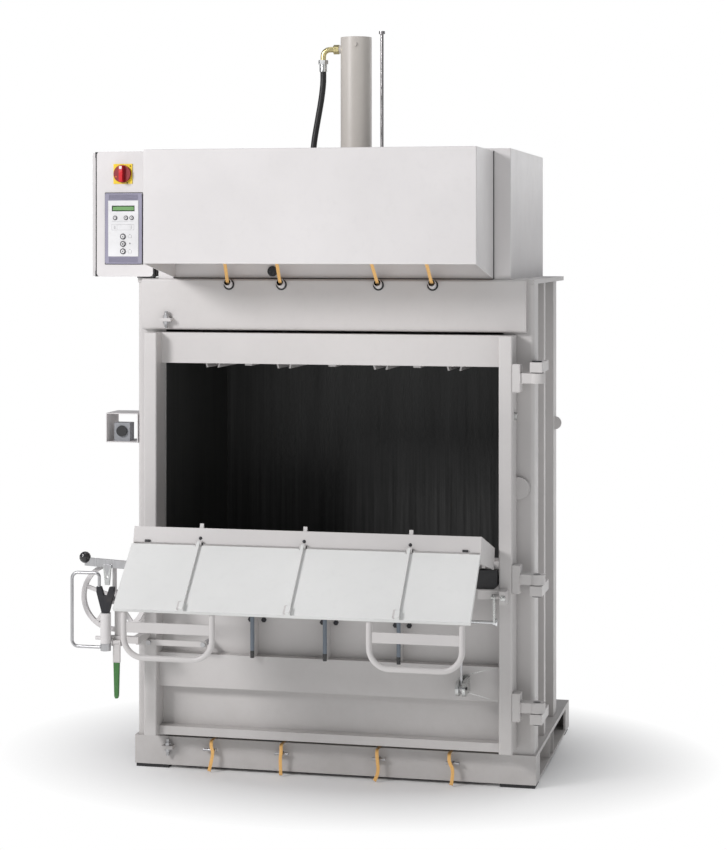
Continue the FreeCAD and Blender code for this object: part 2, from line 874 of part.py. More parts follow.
def build_housing():
    half = "(housing_width/2)"
    y = (BASE_FRONT, f"({BASE_FRONT} + housing_length)")
    corners = [(f"-{half}", y[0]), (half, y[0]), (half, y[1]), (f"-{half}", y[1])]
    shell = extruded("Housing", "XY", [corners], PLATE_TOP, "housing_top")
    top = size("housing_top")
    round_edges(shell, "housing_round", lambda e: runs_along(Z_AXIS)(e) or e.BoundBox.ZMin > top - 1)
    inside = block((f"-{half} + housing_sheet", f"{half} - housing_sheet"),
                   (f"{y[0]} + housing_sheet", f"{y[1]} - housing_sheet"),
                   (f"{PLATE_TOP} - 1", "housing_top - housing_sheet"))
    roof = "housing_top - 2*housing_sheet"
    through = "3*housing_sheet"
    holes = [rod("z", ("0", "0", roof), through, "roof_hole"),
             rod("z", ("hose_roof_x", "0", roof), through, "hose_hole"),
             rod("z", ("gauge_offset", "0", roof), through, "bush_size + 2*running_gap"),
             rod("y", ("plug_side", f"{y[0]} - 1", "plug_height"), "housing_sheet + 2",
                 "plug_size - 2*plug_rim"),
             rod("y", ("inlet_x", f"{y[1]} - housing_sheet - 1", "inlet_z"), "housing_sheet + 2",
                 "inlet_bore")]
    node(cut(shell, inside, *holes), "upper_housing")
    collar = "gauge_cap + 2*sliding_gap"
    bush = fuse(rod("z", ("gauge_offset", "0", "housing_top - housing_sheet"), "bush_height + housing_sheet",
                    "bush_size"))
    node(cut(bush, rod("z", ("gauge_offset", "0", "housing_top - housing_sheet - 1"),
                       "bush_height + housing_sheet + 2", collar)), "gauge_bush")
    plug = fuse(rod("y", ("plug_side", f"{y[0]} - plug_rim", "plug_height"), "plug_rim", "plug_size"),
                rod("y", ("plug_side", y[0], "plug_height"), "2*plug_rim",
                    "plug_size - 2*plug_rim - 2*sliding_gap"))
    node(plug, "cover_plug")


def build_power_unit():
    tank_x = ("tank_place", "tank_place + tank_width")
    tank_top = f"({PLATE_TOP} + tank_height)"
    node(block(tank_x, ("-tank_length/2", "tank_length/2"), (PLATE_TOP, tank_top), name="Tank"), "oil_tank")
    motor_y = "(motor_size/2 - tank_length/2)"
    axis = f"({tank_top} + motor_size/2 + motor_foot)"
    start = "(tank_place + tank_width/2 - motor_length/2)"
    feet = block((f"{start} + motor_foot", f"{start} + motor_length - motor_foot"),
                 (f"{motor_y} - motor_size/4", f"{motor_y} + motor_size/4"), (tank_top, axis))
    frame = rod("x", (start, motor_y, axis), "motor_length", "motor_size")
    shaft_end = rod("x", (f"{start} - 3*motor_foot", motor_y, axis), "3*motor_foot", "motor_size/2")
    node(fuse(feet, frame, shaft_end), "pump_motor")
    valve_top = f"({PLATE_TOP} + valve_size)"
    node(block(("hose_roof_x - valve_size/2", "hose_roof_x + valve_size/2"),
               ("-valve_size/2", "valve_size/2"),
               (PLATE_TOP, valve_top), name="ValveBlock"), "valve_block")
    node(fuse(rod("z", ("hose_roof_x", "0", valve_top), "fitting_height", "hose_size + fitting_wall")),
         "valve_fitting")


# ---------------------------------------------------------------- strap hood and reels

def build_hood():
    x = ("-hood_width/2", "hood_width/2")
    front, back = f"({BASE_FRONT} - hood_depth)", BASE_FRONT
    corners = [(front, "hood_lip"), (front, "hood_top"), (back, "hood_top"), (back, "hood_back")]
    body = extruded("Hood", "YZ", [corners], *x)
    top, near = size("hood_top"), size("door_face") + size("base_setback") - size("hood_depth")
    round_edges(body, "hood_fold", lambda e: e.BoundBox.YMax < near + 1 or
                (e.BoundBox.ZMin > top - 1 and not (runs_along(X_AXIS)(e) and e.BoundBox.YMin > near + 1)))
    inside = block((f"{x[0]} + hood_sheet", f"{x[1]} - hood_sheet"),
                   (f"{front} + hood_sheet", f"{back} + 1"),
                   ("hood_back - 1", "hood_top - hood_sheet"))
    lip = block((f"{x[0]} + hood_sheet", f"{x[1]} - hood_sheet"),
                (f"{front} + hood_sheet/2", f"{front} + hood_sheet + hood_return"),
                ("hood_lip", "hood_lip + hood_sheet"))
    node(fuse(cut(body, inside), lip), "strap_hood")
    inner = "(hood_width/2 - hood_sheet)"
    blocks = []
    for limits, start in ((( f"{inner} - axle_block_thick", inner), f"{inner} - axle_block_thick - 1"),
                          ((f"-{inner}", f"-{inner} + axle_block_thick"), f"-{inner} - 1")):
        blocks.append(cut(block(limits, ("reel_depth_y - axle_block/2", "reel_depth_y + axle_block/2"),
                                ("reel_height - axle_block/2", "reel_height + axle_block/2")),
                          rod("x", (start, "reel_depth_y", "reel_height"), "axle_block_thick + 2",
                              "axle_size + 2*running_gap")))
    node(group(*blocks), "reel_axle_blocks")
    node(rod("x", (f"-{inner} + running_gap", "reel_depth_y", "reel_height"), f"2*{inner} - 2*running_gap",
             "axle_size", name="ReelAxle"), "reel_axle")
    for number, centre in enumerate(("-outer_tube_place", "-inner_strap_place", "inner_strap_place",
                                     "outer_tube_place"), 1):
        start = f"({centre} - roll_width/2)"

        def disc(x_start, width, diameter):
            return rod("x", (x_start, "reel_depth_y", "reel_height"), width, diameter)

        core = cut(disc(start, "roll_width", "roll_core - 2*running_gap"),
                   disc(f"{start} - 1", "roll_width + 2", "axle_size + 4*running_gap"))
        node(core, f"strap_reel_{number}")
        node(cut(disc(start, "roll_width", "strap_roll"),
                 disc(f"{start} - 1", "roll_width + 2", "roll_core")), f"strap_roll_{number}")


# ---------------------------------------------------------------- press cylinder

def build_cylinder():
    flange_top = f"({PLATE_TOP} + flange_thick)"
    bore_top = "(cylinder_top - cylinder_cap)"
    bolt_ring = []
    for step in range(6):
        across = f"flange_bolt_circle/2*{round(math.cos(math.tau*(step + 0.5)/6), 4)}"
        along = f"flange_bolt_circle/2*{round(math.sin(math.tau*(step + 0.5)/6), 4)}"
        bolt_ring.append(hexagon("z", (across, along, flange_top), "bolt_size*0.625", "bolt_size*1.5"))
    body = fuse(rod("z", ("0", "0", PLATE_TOP), "flange_thick", "flange_size"),
                rod("z", ("0", "0", PLATE_TOP), "flange_thick + boss_height", "boss_size"),
                rod("z", ("0", "0", PLATE_TOP), f"cylinder_top - {PLATE_TOP}", "cylinder_size"),
                rod("x", ("-cylinder_size/2 - port_reach", "0", "port_height"), "2*port_reach", "port_boss"))
    node(cut(body, rod("z", ("0", "0", "gland_height"), f"{bore_top} - gland_height", "cylinder_bore"),
             rod("z", ("gauge_offset", "0", f"{PLATE_TOP} - 1"), "flange_thick + 2",
                 "gauge_size + 4*sliding_gap"),
             rod("z", ("0", "0", f"{PLATE_TOP} - 1"), "flange_thick + 2*boss_height",
                 "rod_size + 2*running_gap")), "press_cylinder")
    node(group(*bolt_ring), "flange_bolts")
    screw_y = "-cylinder_size/2"
    node(fuse(rod("y", ("bolt_size/2", f"{screw_y} - bolt_size/4", "cylinder_top - cylinder_cap*1.2"),
                  "bolt_size/2", "bolt_size*0.9")), "bleed_screw")
    rod_bottom = "(platen_bottom + platen_height)"
    piston = fuse(rod("z", ("0", "0", rod_bottom), f"piston_height + piston_length - {rod_bottom}",
                      "rod_size"),
                  rod("z", ("0", "0", "piston_height"), "piston_length", "cylinder_bore - 2*running_gap"))
    node(piston, "piston_rod")
    node(fuse(rod("z", ("gauge_offset", "0", rod_bottom), f"gauge_top - {rod_bottom}", "gauge_size"),
              rod("z", ("gauge_offset", "0", "gauge_top - gauge_cap_height"), "gauge_cap_height",
                  "gauge_cap")),
         "indicator_rod")

    port_x = "(-cylinder_size/2 - port_reach)"
    node(hexagon("x", (f"{port_x} - port_nut", "0", "port_height"), "port_nut", "port_boss"), "port_nut")
    bend = size("port_bend")
    start = Vector(-size("cylinder_size")/2 - size("port_reach") - size("port_nut"), 0, size("port_height"))
    corner = Vector(size("hose_x"), 0, size("port_height"))
    foot = Vector(size("hose_x"), 0, size("ferrule_top"))
    node(swept(bent_tube([start, corner, foot], bend, size("port_pipe"), chords=4), "Elbow"), "port_elbow")
    node(fuse(rod("z", ("hose_x", "0", "ferrule_bottom"), "ferrule_top - ferrule_bottom",
                  "hose_size + fitting_wall/2"),
              hexagon("z", ("hose_x", "0", "ferrule_top - fitting_wall*1.2"), "fitting_wall*1.2",
                      "hose_size + fitting_wall*0.8")), "hose_ferrule")
    valve_top = size("frame_top") + size("valve_size") + size("fitting_height")
    hose_top, roof_x = size("ferrule_bottom"), size("hose_roof_x")
    side = size("hose_x")
    across, drop = roof_x - side, hose_top - valve_top
    # How far over and how far down the hose has come at each turn, as shares of the whole way.
    turns = ((0, 0), (0, 0.066), (0.18, 0.163), (0.51, 0.276), (0.97, 0.438), (1.05, 0.664), (1, 0.858),
             (1, 1))
    points = [Vector(side + across*over, 0, hose_top - drop*down) for over, down in turns]
    radii = route_bends(points, "oil hose", size("hose_size"))
    node(swept(bent_tube(points, radii, size("hose_size")), "Hose"), "oil_hose")


# ---------------------------------------------------------------- platen

def build_platen():
    side = f"({HALF_OPENING} - platen_gap)"
    x = (f"-{side}", side)
    y = (f"{CHAMBER_FRONT} + platen_gap", f"{CHAMBER_REAR} - platen_gap")
    top = "(platen_bottom + platen_height)"
    plate_top = "(platen_bottom + platen_plate)"
    beams = [block(x, (y[0], f"{y[0]} + platen_beam_wall*2"), (plate_top, top)),
             block(x, (f"{y[1]} - platen_beam_wall*2", y[1]), (plate_top, top))]
    for limits in sides(f"{side} - platen_beam_wall*2", side):
        beams.append(block(limits, y, (plate_top, top)))
    for centre in ("-shoe_place", "0", "shoe_place"):
        beams.append(block((f"{centre} - platen_beam_wall", f"{centre} + platen_beam_wall"), y,
                           (plate_top, top)))
    beams.append(block(x, ("-platen_beam_wall", "platen_beam_wall"), (plate_top, top)))
    beams.append(rod("z", ("0", "0", plate_top), f"{top} - {plate_top}", "boss_size"))
    gauge_pad = rod("z", ("gauge_offset", "0", plate_top), f"{top} - {plate_top}", "3*gauge_size")
    node(fuse(block(x, y, ("platen_bottom", plate_top)), *beams, gauge_pad), "press_platen")
    flats = []
    low = "platen_bottom - guide_drop"
    for centre in ("-outer_strap_place", "-inner_strap_place", "inner_strap_place", "outer_strap_place"):
        for sign in ("-", "+"):
            inner = f"({centre} {sign} guide_spread/2)"
            lean = f"{sign} guide_thick"
            ring = [(inner, low), (f"{inner} {lean}", low), (f"{inner} {lean} {lean}*1.3", "platen_bottom"),
                    (f"{inner} {lean}*1.3", "platen_bottom")]
            flats.append(extruded("GuideFlat", "XZ", [ring], *y))
    node(group(*flats), "strap_guides")
    shoes = [block((f"{centre} - shoe_width/2", f"{centre} + shoe_width/2"), y,
                   ("platen_bottom - shoe_drop", "platen_bottom")) for centre in ("-shoe_place", "0",
                                                                                  "shoe_place")]
    node(group(*shoes), "platen_shoes")


# ---------------------------------------------------------------- door

STILE_OUTER = "(opening_width/2 + stile_width)"
DOOR_REAR = CHAMBER_FRONT
RAIL_REAR = "(door_face + door_depth - liner_thick)"


def build_door():
    stiles = []
    for x in sides(HALF_OPENING, STILE_OUTER):
        ring = [(x[0], "door_face"), (x[1], "door_face"), (x[1], DOOR_REAR), (x[0], DOOR_REAR)]
        tube = round_edges(extruded("Stile", "XY", [ring], "door_bottom", "door_top"), "stile_round",
                           runs_along(Z_AXIS))
        inside = block((f"{x[0]} + door_wall", f"{x[1]} - door_wall"),
                       ("door_face + door_wall", f"{DOOR_REAR} - door_wall"),
                       ("door_bottom + door_wall", "door_top - door_wall"))
        stiles.append(cut(tube, inside))
    across = (f"-{HALF_OPENING}", HALF_OPENING)

    def rail(setback, rear, low, high):
        return hollow(across, (f"door_face + {setback}", rear), (low, high), "door_wall", "x")

    sill_low = "(opening_sill - sill_height)"
    beam_top = "(beam_bottom + beam_height)"
    top_low = "(opening_sill + opening_height)"
    bottom_top = "(door_bottom + bottom_rail_height)"
    rails = [rail("top_rail_setback", DOOR_REAR, top_low, "door_top"),
             rail("sill_setback", RAIL_REAR, sill_low, "opening_sill"),
             rail("beam_setback", RAIL_REAR, "beam_bottom", beam_top),
             rail("bottom_rail_setback", RAIL_REAR, "door_bottom", bottom_top)]
    lug = fuse(block((STILE_OUTER, f"{STILE_OUTER} + door_lug_reach - door_lug_radius"),
                     (f"{DOOR_REAR} - door_lug_thick", DOOR_REAR),
                     ("door_lug_height - door_lug_radius", "door_lug_height + door_lug_radius")),
               cut(rod("y",
                       (f"{STILE_OUTER} + door_lug_reach - door_lug_radius", f"{DOOR_REAR} - door_lug_thick",
                             "door_lug_height"), "door_lug_thick", "2*door_lug_radius"),
                   block((f"{STILE_OUTER} - 2*door_lug_radius", STILE_OUTER),
                         (f"{DOOR_REAR} - 2*door_lug_thick", f"{DOOR_REAR} + 1"),
                         ("door_lug_height - 2*door_lug_radius", "door_lug_height + 2*door_lug_radius"))))
    node(fuse(*stiles, *rails, lug), "door_frame")
    skin_y = ("door_face + skin_setback", "door_face + skin_setback + skin_thick")
    node(group(block(across, skin_y, (bottom_top, "beam_bottom")),
               block(across, skin_y, (beam_top, sill_low))), "door_skin")
    node(block(across, (RAIL_REAR, DOOR_REAR), ("door_bottom", "opening_sill"), name="Liner"), "door_liner")
    ribs, bars, caps, heads = [], [], [], []
    bar_y = "(door_face + rib_setback - rib_bar/2)"
    for centre in ("-rib_place", "0", "rib_place"):
        ribs.append(block((f"{centre} - rib_thick/2", f"{centre} + rib_thick/2"),
                          ("door_face + rib_setback", skin_y[0]), (beam_top, sill_low)))
        bars.append(rod("z", (centre, bar_y, f"{beam_top} + rib_cap_length"),
                        f"{sill_low} - {beam_top} - 2*rib_cap_length", "rib_bar"))
        for low in (beam_top, f"{sill_low} - rib_cap_length"):
            caps.append(rod("z", (centre, bar_y, low), "rib_cap_length", "rib_bar"))
        for side in ("-", "+"):
            heads.append(hexagon("y", (f"{centre} {side} 3*rib_thick", f"{skin_y[0]} - bolt_size*0.4",
                                       "rib_bolt_height"), "bolt_size*0.4", "bolt_size"))
    node(group(*ribs), "door_ribs")
    node(group(*bars), "rib_bars")
    node(group(*caps), "rib_bar_caps")
    node(group(*heads), "skin_bolts")
    stile_bolts = []
    for x in ((STILE_OUTER, f"{STILE_OUTER} + bolt_size*0.6"),
              (f"-{STILE_OUTER} - bolt_size*0.6", f"-{STILE_OUTER}")):
        stile_bolts.append(hexagon("x", (x[0], "door_face + door_depth/2", "side_bolt_height"),
                                   "bolt_size*0.6", "bolt_size*1.5"))
    node(group(*stile_bolts), "stile_bolts")


HINGE_X = f"({STILE_OUTER} + hinge_reach)"


def build_hinges():
    pin_y = "(door_face + hinge_setback)"
    arms, lugs, pins, washers, brackets = [], [], [], [], []
    places = {"top": "top_arm_height", "middle": "middle_arm_height", "low": "low_arm_height"}
    outer_post = f"({HALF_OPENING} + side_plate + post_width)"
    for name, centre in places.items():
        arm = (f"({centre} - arm_height/2)", f"({centre} + arm_height/2)")
        if name == "top":
            lug = (f"({arm[1]} + washer_gap)", f"({arm[1]} + washer_gap + arm_height)")
            washer, pin = arm[1], (arm[0], lug[1])
        else:
            lug = (f"({arm[0]} - washer_gap - arm_height)", f"({arm[0]} - washer_gap)")
            washer, pin = lug[1], (lug[0], arm[1])
        bracket_end = f"({STILE_OUTER} + bracket_width)"
        brackets.append(block((STILE_OUTER, bracket_end), ("door_face", "door_face + bracket_depth"),
                              (f"{centre} - bracket_height/2", f"{centre} + bracket_height/2")))
        eye = fuse(block((bracket_end, HINGE_X),
                         (f"{pin_y} - hinge_eye*0.8", f"{pin_y} + hinge_eye*0.8"), arm),
                   rod("z", (HINGE_X, pin_y, arm[0]), "arm_height", "2*hinge_eye"))
        arms.append(cut(eye, rod("z", (HINGE_X, pin_y, f"{arm[0]} - 1"), "arm_height + 2",
                                 "hinge_pin + 2*running_gap")))
        lug_x = (outer_post, f"{HINGE_X} + lug_block_width/2")
        solid = fuse(block(lug_x, (f"{pin_y} - hinge_lug_front + rib_thick",
                                   f"{POST_FRONT} + post_depth*0.6"), lug),
                     rod("z", (HINGE_X, pin_y, lug[0]), "arm_height", "lug_block_width"))
        lugs.append(cut(solid, rod("z", (HINGE_X, pin_y, f"{lug[0]} - 1"), "arm_height + 2",
                                   "hinge_pin + 2*running_gap")))
        shank = rod("z", (HINGE_X, pin_y, pin[0]), f"{pin[1]} - {pin[0]}", "hinge_pin")
        head = rod("z", (HINGE_X, pin_y, lug[1] if name == "top" else f"{lug[0]} - pin_head"),
                   "pin_head", "hinge_pin + 2*pin_head")
        pins.append(fuse(shank, head))
        washers.append(cut(rod("z", (HINGE_X, pin_y, washer if name != "top" else f"{washer} + running_gap"),
                               "washer_gap - running_gap", "1.6*hinge_pin"),
                           rod("z", (HINGE_X, pin_y, f"{washer} - 1"), "washer_gap + 2",
                               "hinge_pin + 4*running_gap")))
    node(group(*brackets), "hinge_brackets")
    node(group(*arms), "hinge_arms")
    node(group(*lugs), "hinge_lugs")
    node(group(*pins), "hinge_pins")
    node(group(*washers), "hinge_washers")


# ---------------------------------------------------------------- loading flap

FLAP_Y = "(door_face + flap_axis_setback)"


def flap_points():
    """The fold's axis as the sheet gives it: distances from the flap's own axis, in the machine's frame."""
    tilt = math.radians(size("leaf_tilt"))
    along, up = -(size("leaf_length") + size("fold_reach")), -size("fold_drop")
    return along*math.cos(tilt) + up*math.sin(tilt), -along*math.sin(tilt) + up*math.cos(tilt)


FOLD_Y = f"({FLAP_Y} - (leaf_length + fold_reach)*cos(leaf_tilt) - fold_drop*sin(leaf_tilt))"
FOLD_Z = "(opening_sill + (leaf_length + fold_reach)*sin(leaf_tilt) - fold_drop*cos(leaf_tilt))"
KNUCKLES = ("-knuckle_place", "0", "knuckle_place")
RIBS = ("-nose_place", "0", "nose_place")
FOLD_EAR = "(outer_rib_width/2 + sliding_gap)"


def knuckle(centre, y, z, width, bore):
    """A hinge eye along X about a point of the leaf's own frame."""
    start = f"{centre} - ({width})/2"
    return cut(rod("x", (start, y, z), width, "flap_eye"),
               rod("x", (f"{start} - 1", y, z), f"{width} + 2", bore))


def build_flap():
    half = "flap_width/2"
    loose = "flap_pin + 2*running_gap"
    cheek = "flap_eye*0.6"
    ear = "(knuckle_length/2 + sliding_gap)"
    pieces = [block((f"-{half}", half), ("-leaf_length", "-flap_eye*0.6"), ("-leaf_sheet", "0")),
              block((f"-{half}", half), ("-leaf_length - leaf_sheet", "-leaf_length"),
                    ("-leaf_sheet", "rail_height"))]
    wing = [("-leaf_length - leaf_sheet", "rail_height"), ("-leaf_sheet", "rail_height"),
            ("-leaf_sheet", "-wing_foot"), ("-leaf_length - leaf_sheet", "-wing_drop")]
    for x in sides("flap_width/2 - leaf_sheet", "flap_width/2"):
        pieces.append(extruded("Wing", "YZ", [wing], *x))
    fold = ("-leaf_length - fold_reach", "-fold_drop")
    for centre in RIBS:
        nose = [("-leaf_length", "0"), ("-leaf_length", "rail_height + nose_height"),
                ("nose_length - leaf_length", "0")]
        pieces.append(extruded("Nose", "YZ", [nose], f"{centre} - nose_width/2", f"{centre} + nose_width/2"))
        for low in (f"{centre} - {FOLD_EAR} - fold_cheek", f"{centre} + {FOLD_EAR}"):
            solid = fuse(rod("x", (low, *fold), "fold_cheek", "flap_eye"),
                         block((low, f"{low} + fold_cheek"), (fold[0], "-leaf_length"),
                               (f"{fold[1]} - flap_eye/2", f"{fold[1]} + flap_eye/2")))
            pieces.append(cut(solid, rod("x", (f"{low} - 1", *fold), "fold_cheek + 2", loose)))
    for centre in KNUCKLES:
        pieces.append(knuckle(centre, "0", "0", "knuckle_length", loose))
        pieces.append(block((f"{centre} - knuckle_length/2", f"{centre} + knuckle_length/2"),
                            ("-flap_eye*0.7", "-flap_eye*0.3"), ("-leaf_sheet", "0")))
    leaf = place(turn(fuse(*pieces), -X_AXIS, "leaf_tilt"), "0", FLAP_Y, "opening_sill")
    node(leaf, "flap_lower")

    near = "-flap_eye*0.3"
    notches = [block((f"{centre} - {FOLD_EAR} - fold_cheek - 2*sliding_gap",
                      f"{centre} + {FOLD_EAR} + fold_cheek + 2*sliding_gap"),
                     ("-flap_eye*0.6", "0"), ("-2*leaf_sheet", "leaf_sheet")) for centre in RIBS]
    upper = [cut(block((f"-{half}", half), ("-outer_leaf_length", near), ("-leaf_sheet", "0")), *notches),
             block((f"-{half}", half), ("-outer_leaf_length", "leaf_sheet - outer_leaf_length"),
                   ("-outer_lip", "0"))]
    for x in sides("flap_width/2 - leaf_sheet", "flap_width/2"):
        upper.append(block(x, ("-outer_leaf_length", near), ("-outer_lip", "0")))
    for centre in RIBS:
        rib_x = (f"{centre} - outer_rib_width/2", f"{centre} + outer_rib_width/2")
        upper.append(cut(block(rib_x, ("end_block_length - outer_leaf_length", "0"),
                               ("-leaf_sheet", "outer_rib_height")),
                         rod("x", (f"{rib_x[0]} - 1", "0", "0"), "outer_rib_width + 2", "flap_eye*0.8")))
        upper.append(block((f"{centre} - end_block_width/2", f"{centre} + end_block_width/2"),
                           ("-outer_leaf_length", "end_block_length - outer_leaf_length"),
                           ("0", "end_block_height")))
        upper.append(knuckle(centre, "0", "0", "outer_rib_width", loose))
    node(place(turn(fuse(*upper), X_AXIS, "fold_tilt"), "0", FOLD_Y, FOLD_Z), "flap_upper")

    fold_half = f"({FOLD_EAR} + fold_cheek + pin_head/2)"
    node(group(*[rod("x", (f"{centre} - {fold_half}", FOLD_Y, FOLD_Z), f"2*{fold_half}", "flap_pin")
                 for centre in RIBS]), "fold_pins")
    pin_half = f"({ear} + {cheek} + pin_head/2)"
    node(group(*[rod("x", (f"{centre} - {pin_half}", FLAP_Y, "opening_sill"), f"2*{pin_half}", "flap_pin")
                 for centre in KNUCKLES]), "flap_pins")
    ears = []
    for centre in KNUCKLES:
        for low in (f"{centre} - {ear} - {cheek}", f"{centre} + {ear}"):
            solid = fuse(rod("x", (low, FLAP_Y, "opening_sill"), cheek, "flap_eye"),
                         block((low, f"{low} + {cheek}"), (FLAP_Y, "door_face + sill_setback"),
                               ("opening_sill - flap_eye", "opening_sill - leaf_sheet")),
                         block((low, f"{low} + {cheek}"), (FLAP_Y, f"{FLAP_Y} + flap_eye/2"),
                               ("opening_sill - flap_eye/2", "opening_sill")))
            ears.append(cut(solid, rod("x", (f"{low} - 1", FLAP_Y, "opening_sill"), f"{cheek} + 2", loose)))
    node(group(*ears), "flap_hinge_ears")


def build_grab_handles():
    axis_y, axis_z = flap_points()
    fold_y = size("door_face") + size("flap_axis_setback") + axis_y
    fold_z = size("opening_sill") + axis_z
    tilt = math.radians(size("fold_tilt"))
    leg_y = fold_y - size("outer_leaf_length")*math.cos(tilt) + size("grab_back")
    top = fold_z + (leg_y - fold_y)*math.tan(tilt)
    low = top - size("grab_drop")
    inner, outer = size("grab_inner"), size("grab_outer")
    points = [Vector(inner, leg_y, top + 30), Vector(inner, leg_y, low), Vector(outer, leg_y, low),
              Vector(outer, leg_y, top + 30)]
    tube = swept(bent_tube(points, size("grab_bend"), size("grab_size")), "GrabTube")
    bar = doc.addObject("Part::Box", "GrabBar")
    bind(bar, Length="grab_outer - grab_inner", Width="grab_bar_thick", Height="grab_bar_height")
    bar.Placement.Base = Vector(inner, leg_y - size("grab_bar_thick")/2, top - size("grab_bar_drop") -
                                size("grab_bar_height"))
    tool = place(turn(fuse(block(("-flap_width", "flap_width"),
                                 ("-2*outer_leaf_length", "outer_leaf_length"),
                                 ("-leaf_sheet", "outer_leaf_length"))), X_AXIS, "fold_tilt"), "0", FOLD_Y,
                                 FOLD_Z)
    right = cut(fuse(tube, bar), tool)
    node(right, "grab_handle_right")
    node(mirrored(right), "grab_handle_left")


# ---------------------------------------------------------------- latch rod and pull rod

def build_latch():
    axis_y, low = "(door_face + latch_setback)", "(latch_height - latch_drop)"
    arms = []
    for x in sides("latch_arm_side", "latch_arm_side + latch_arm"):
        flat = fuse(block(x, (f"{axis_y} - latch_arm_width/2", f"{axis_y} + latch_arm_width/2"),
                          (low, "latch_height")),
                    rod("x", (x[0], axis_y, "latch_height"), "latch_arm", "latch_arm_width"),
                    rod("x", (x[0], axis_y, low), "latch_arm", "latch_arm_width"))
        arms.append(cut(flat, rod("x", (f"{x[0]} - 1", axis_y, "latch_height"), "latch_arm + 2",
                                  "latch_pin + 2*running_gap"),
                        rod("x", (f"{x[0]} - 1", axis_y, low), "latch_arm + 2",
                            "latch_rod + 2*running_gap")))
    node(group(*arms), "latch_arms")
    reach = "(latch_arm_side + latch_arm)"
    node(rod("x", (f"-{reach}", axis_y, low), f"2*{reach}", "latch_rod", name="LatchRod"), "latch_cross_rod")
    block_z = ("latch_block_low", "latch_block_low + latch_block_height")
    block_x = ("latch_block_side", "(latch_block_side + latch_block_width)")
    base = block(block_x, ("door_face - latch_block_depth", "door_face"), block_z)
    stub = rod("x", ("latch_arm_side", axis_y, "latch_height"), f"{block_x[1]} - latch_arm_side",
               "latch_pin")
    plain = fuse(base, stub)
    plate = block((f"{block_x[0]} - latch_plate_reach - latch_arm", block_x[0]),
                  ("door_face + latch_plate_setback", "door_face + latch_plate_setback + latch_plate_thick"),
                  ("latch_plate_low", "latch_plate_low + latch_plate_height"))
    node(mirrored(plain), "latch_block_left")
    node(fuse(plain, plate), "latch_block_right")

    foot = "pull_foot_height"
    slot_top = f"({low} + pull_slot)"
    eye = fuse(rod("x", ("pull_side - pull_size/2", axis_y, low), "pull_size", "2*pull_slot"),
               rod("x", ("pull_side - pull_size/2", axis_y, slot_top), "pull_size", "2*pull_slot"),
               block(("pull_side - pull_size/2", "pull_side + pull_size/2"),
                     (f"{axis_y} - pull_slot", f"{axis_y} + pull_slot"), (low, slot_top)))
    slot = fuse(rod("x", ("pull_side - pull_size", axis_y, low), "2*pull_size", "pull_slot"),
                rod("x", ("pull_side - pull_size", axis_y, slot_top), "2*pull_size", "pull_slot"),
                block(("pull_side - pull_size", "pull_side + pull_size"),
                      (f"{axis_y} - pull_slot/2", f"{axis_y} + pull_slot/2"), (low, slot_top)))
    shank = rod("z", ("pull_side", axis_y, f"{foot} + clevis_gap/2"),
                f"{low} - {foot} - clevis_gap/2 - pull_slot*0.8",
                "pull_size")
    foot_eye = rod("x", ("pull_side - clevis_gap/2 + sliding_gap", axis_y, foot),
                   "clevis_gap - 2*sliding_gap",
                   "3*pull_size")
    bore = rod("x", ("pull_side - clevis_gap", axis_y, foot), "2*clevis_gap", "flap_pin + 2*running_gap")
    node(cut(fuse(cut(eye, slot), shank, foot_eye), bore), "pull_rod")
    back = "door_face + beam_setback"
    cheeks = []
    for start in ("(pull_side - clevis_gap/2 - clevis_cheek)", "(pull_side + clevis_gap/2)"):
        ends = (start, f"{start} + clevis_cheek")
        cheek = fuse(block(ends, (axis_y, back), (f"{foot} - clevis_height/2", f"{foot} + clevis_height/2")),
                     rod("x", (ends[0], axis_y, foot), "clevis_cheek", "clevis_height"))
        cheeks.append(cut(cheek, rod("x", (f"{ends[0]} - 1", axis_y, foot), "clevis_cheek + 2",
                                     "flap_pin + 2*running_gap")))
    node(group(*cheeks), "pull_clevis")
    node(rod("x", ("pull_side - clevis_gap/2 - clevis_cheek - pin_head", axis_y, foot),
             "clevis_gap + 2*clevis_cheek + 2*pin_head", "flap_pin", name="ClevisPin"), "clevis_pin")


# ---------------------------------------------------------------- door lock

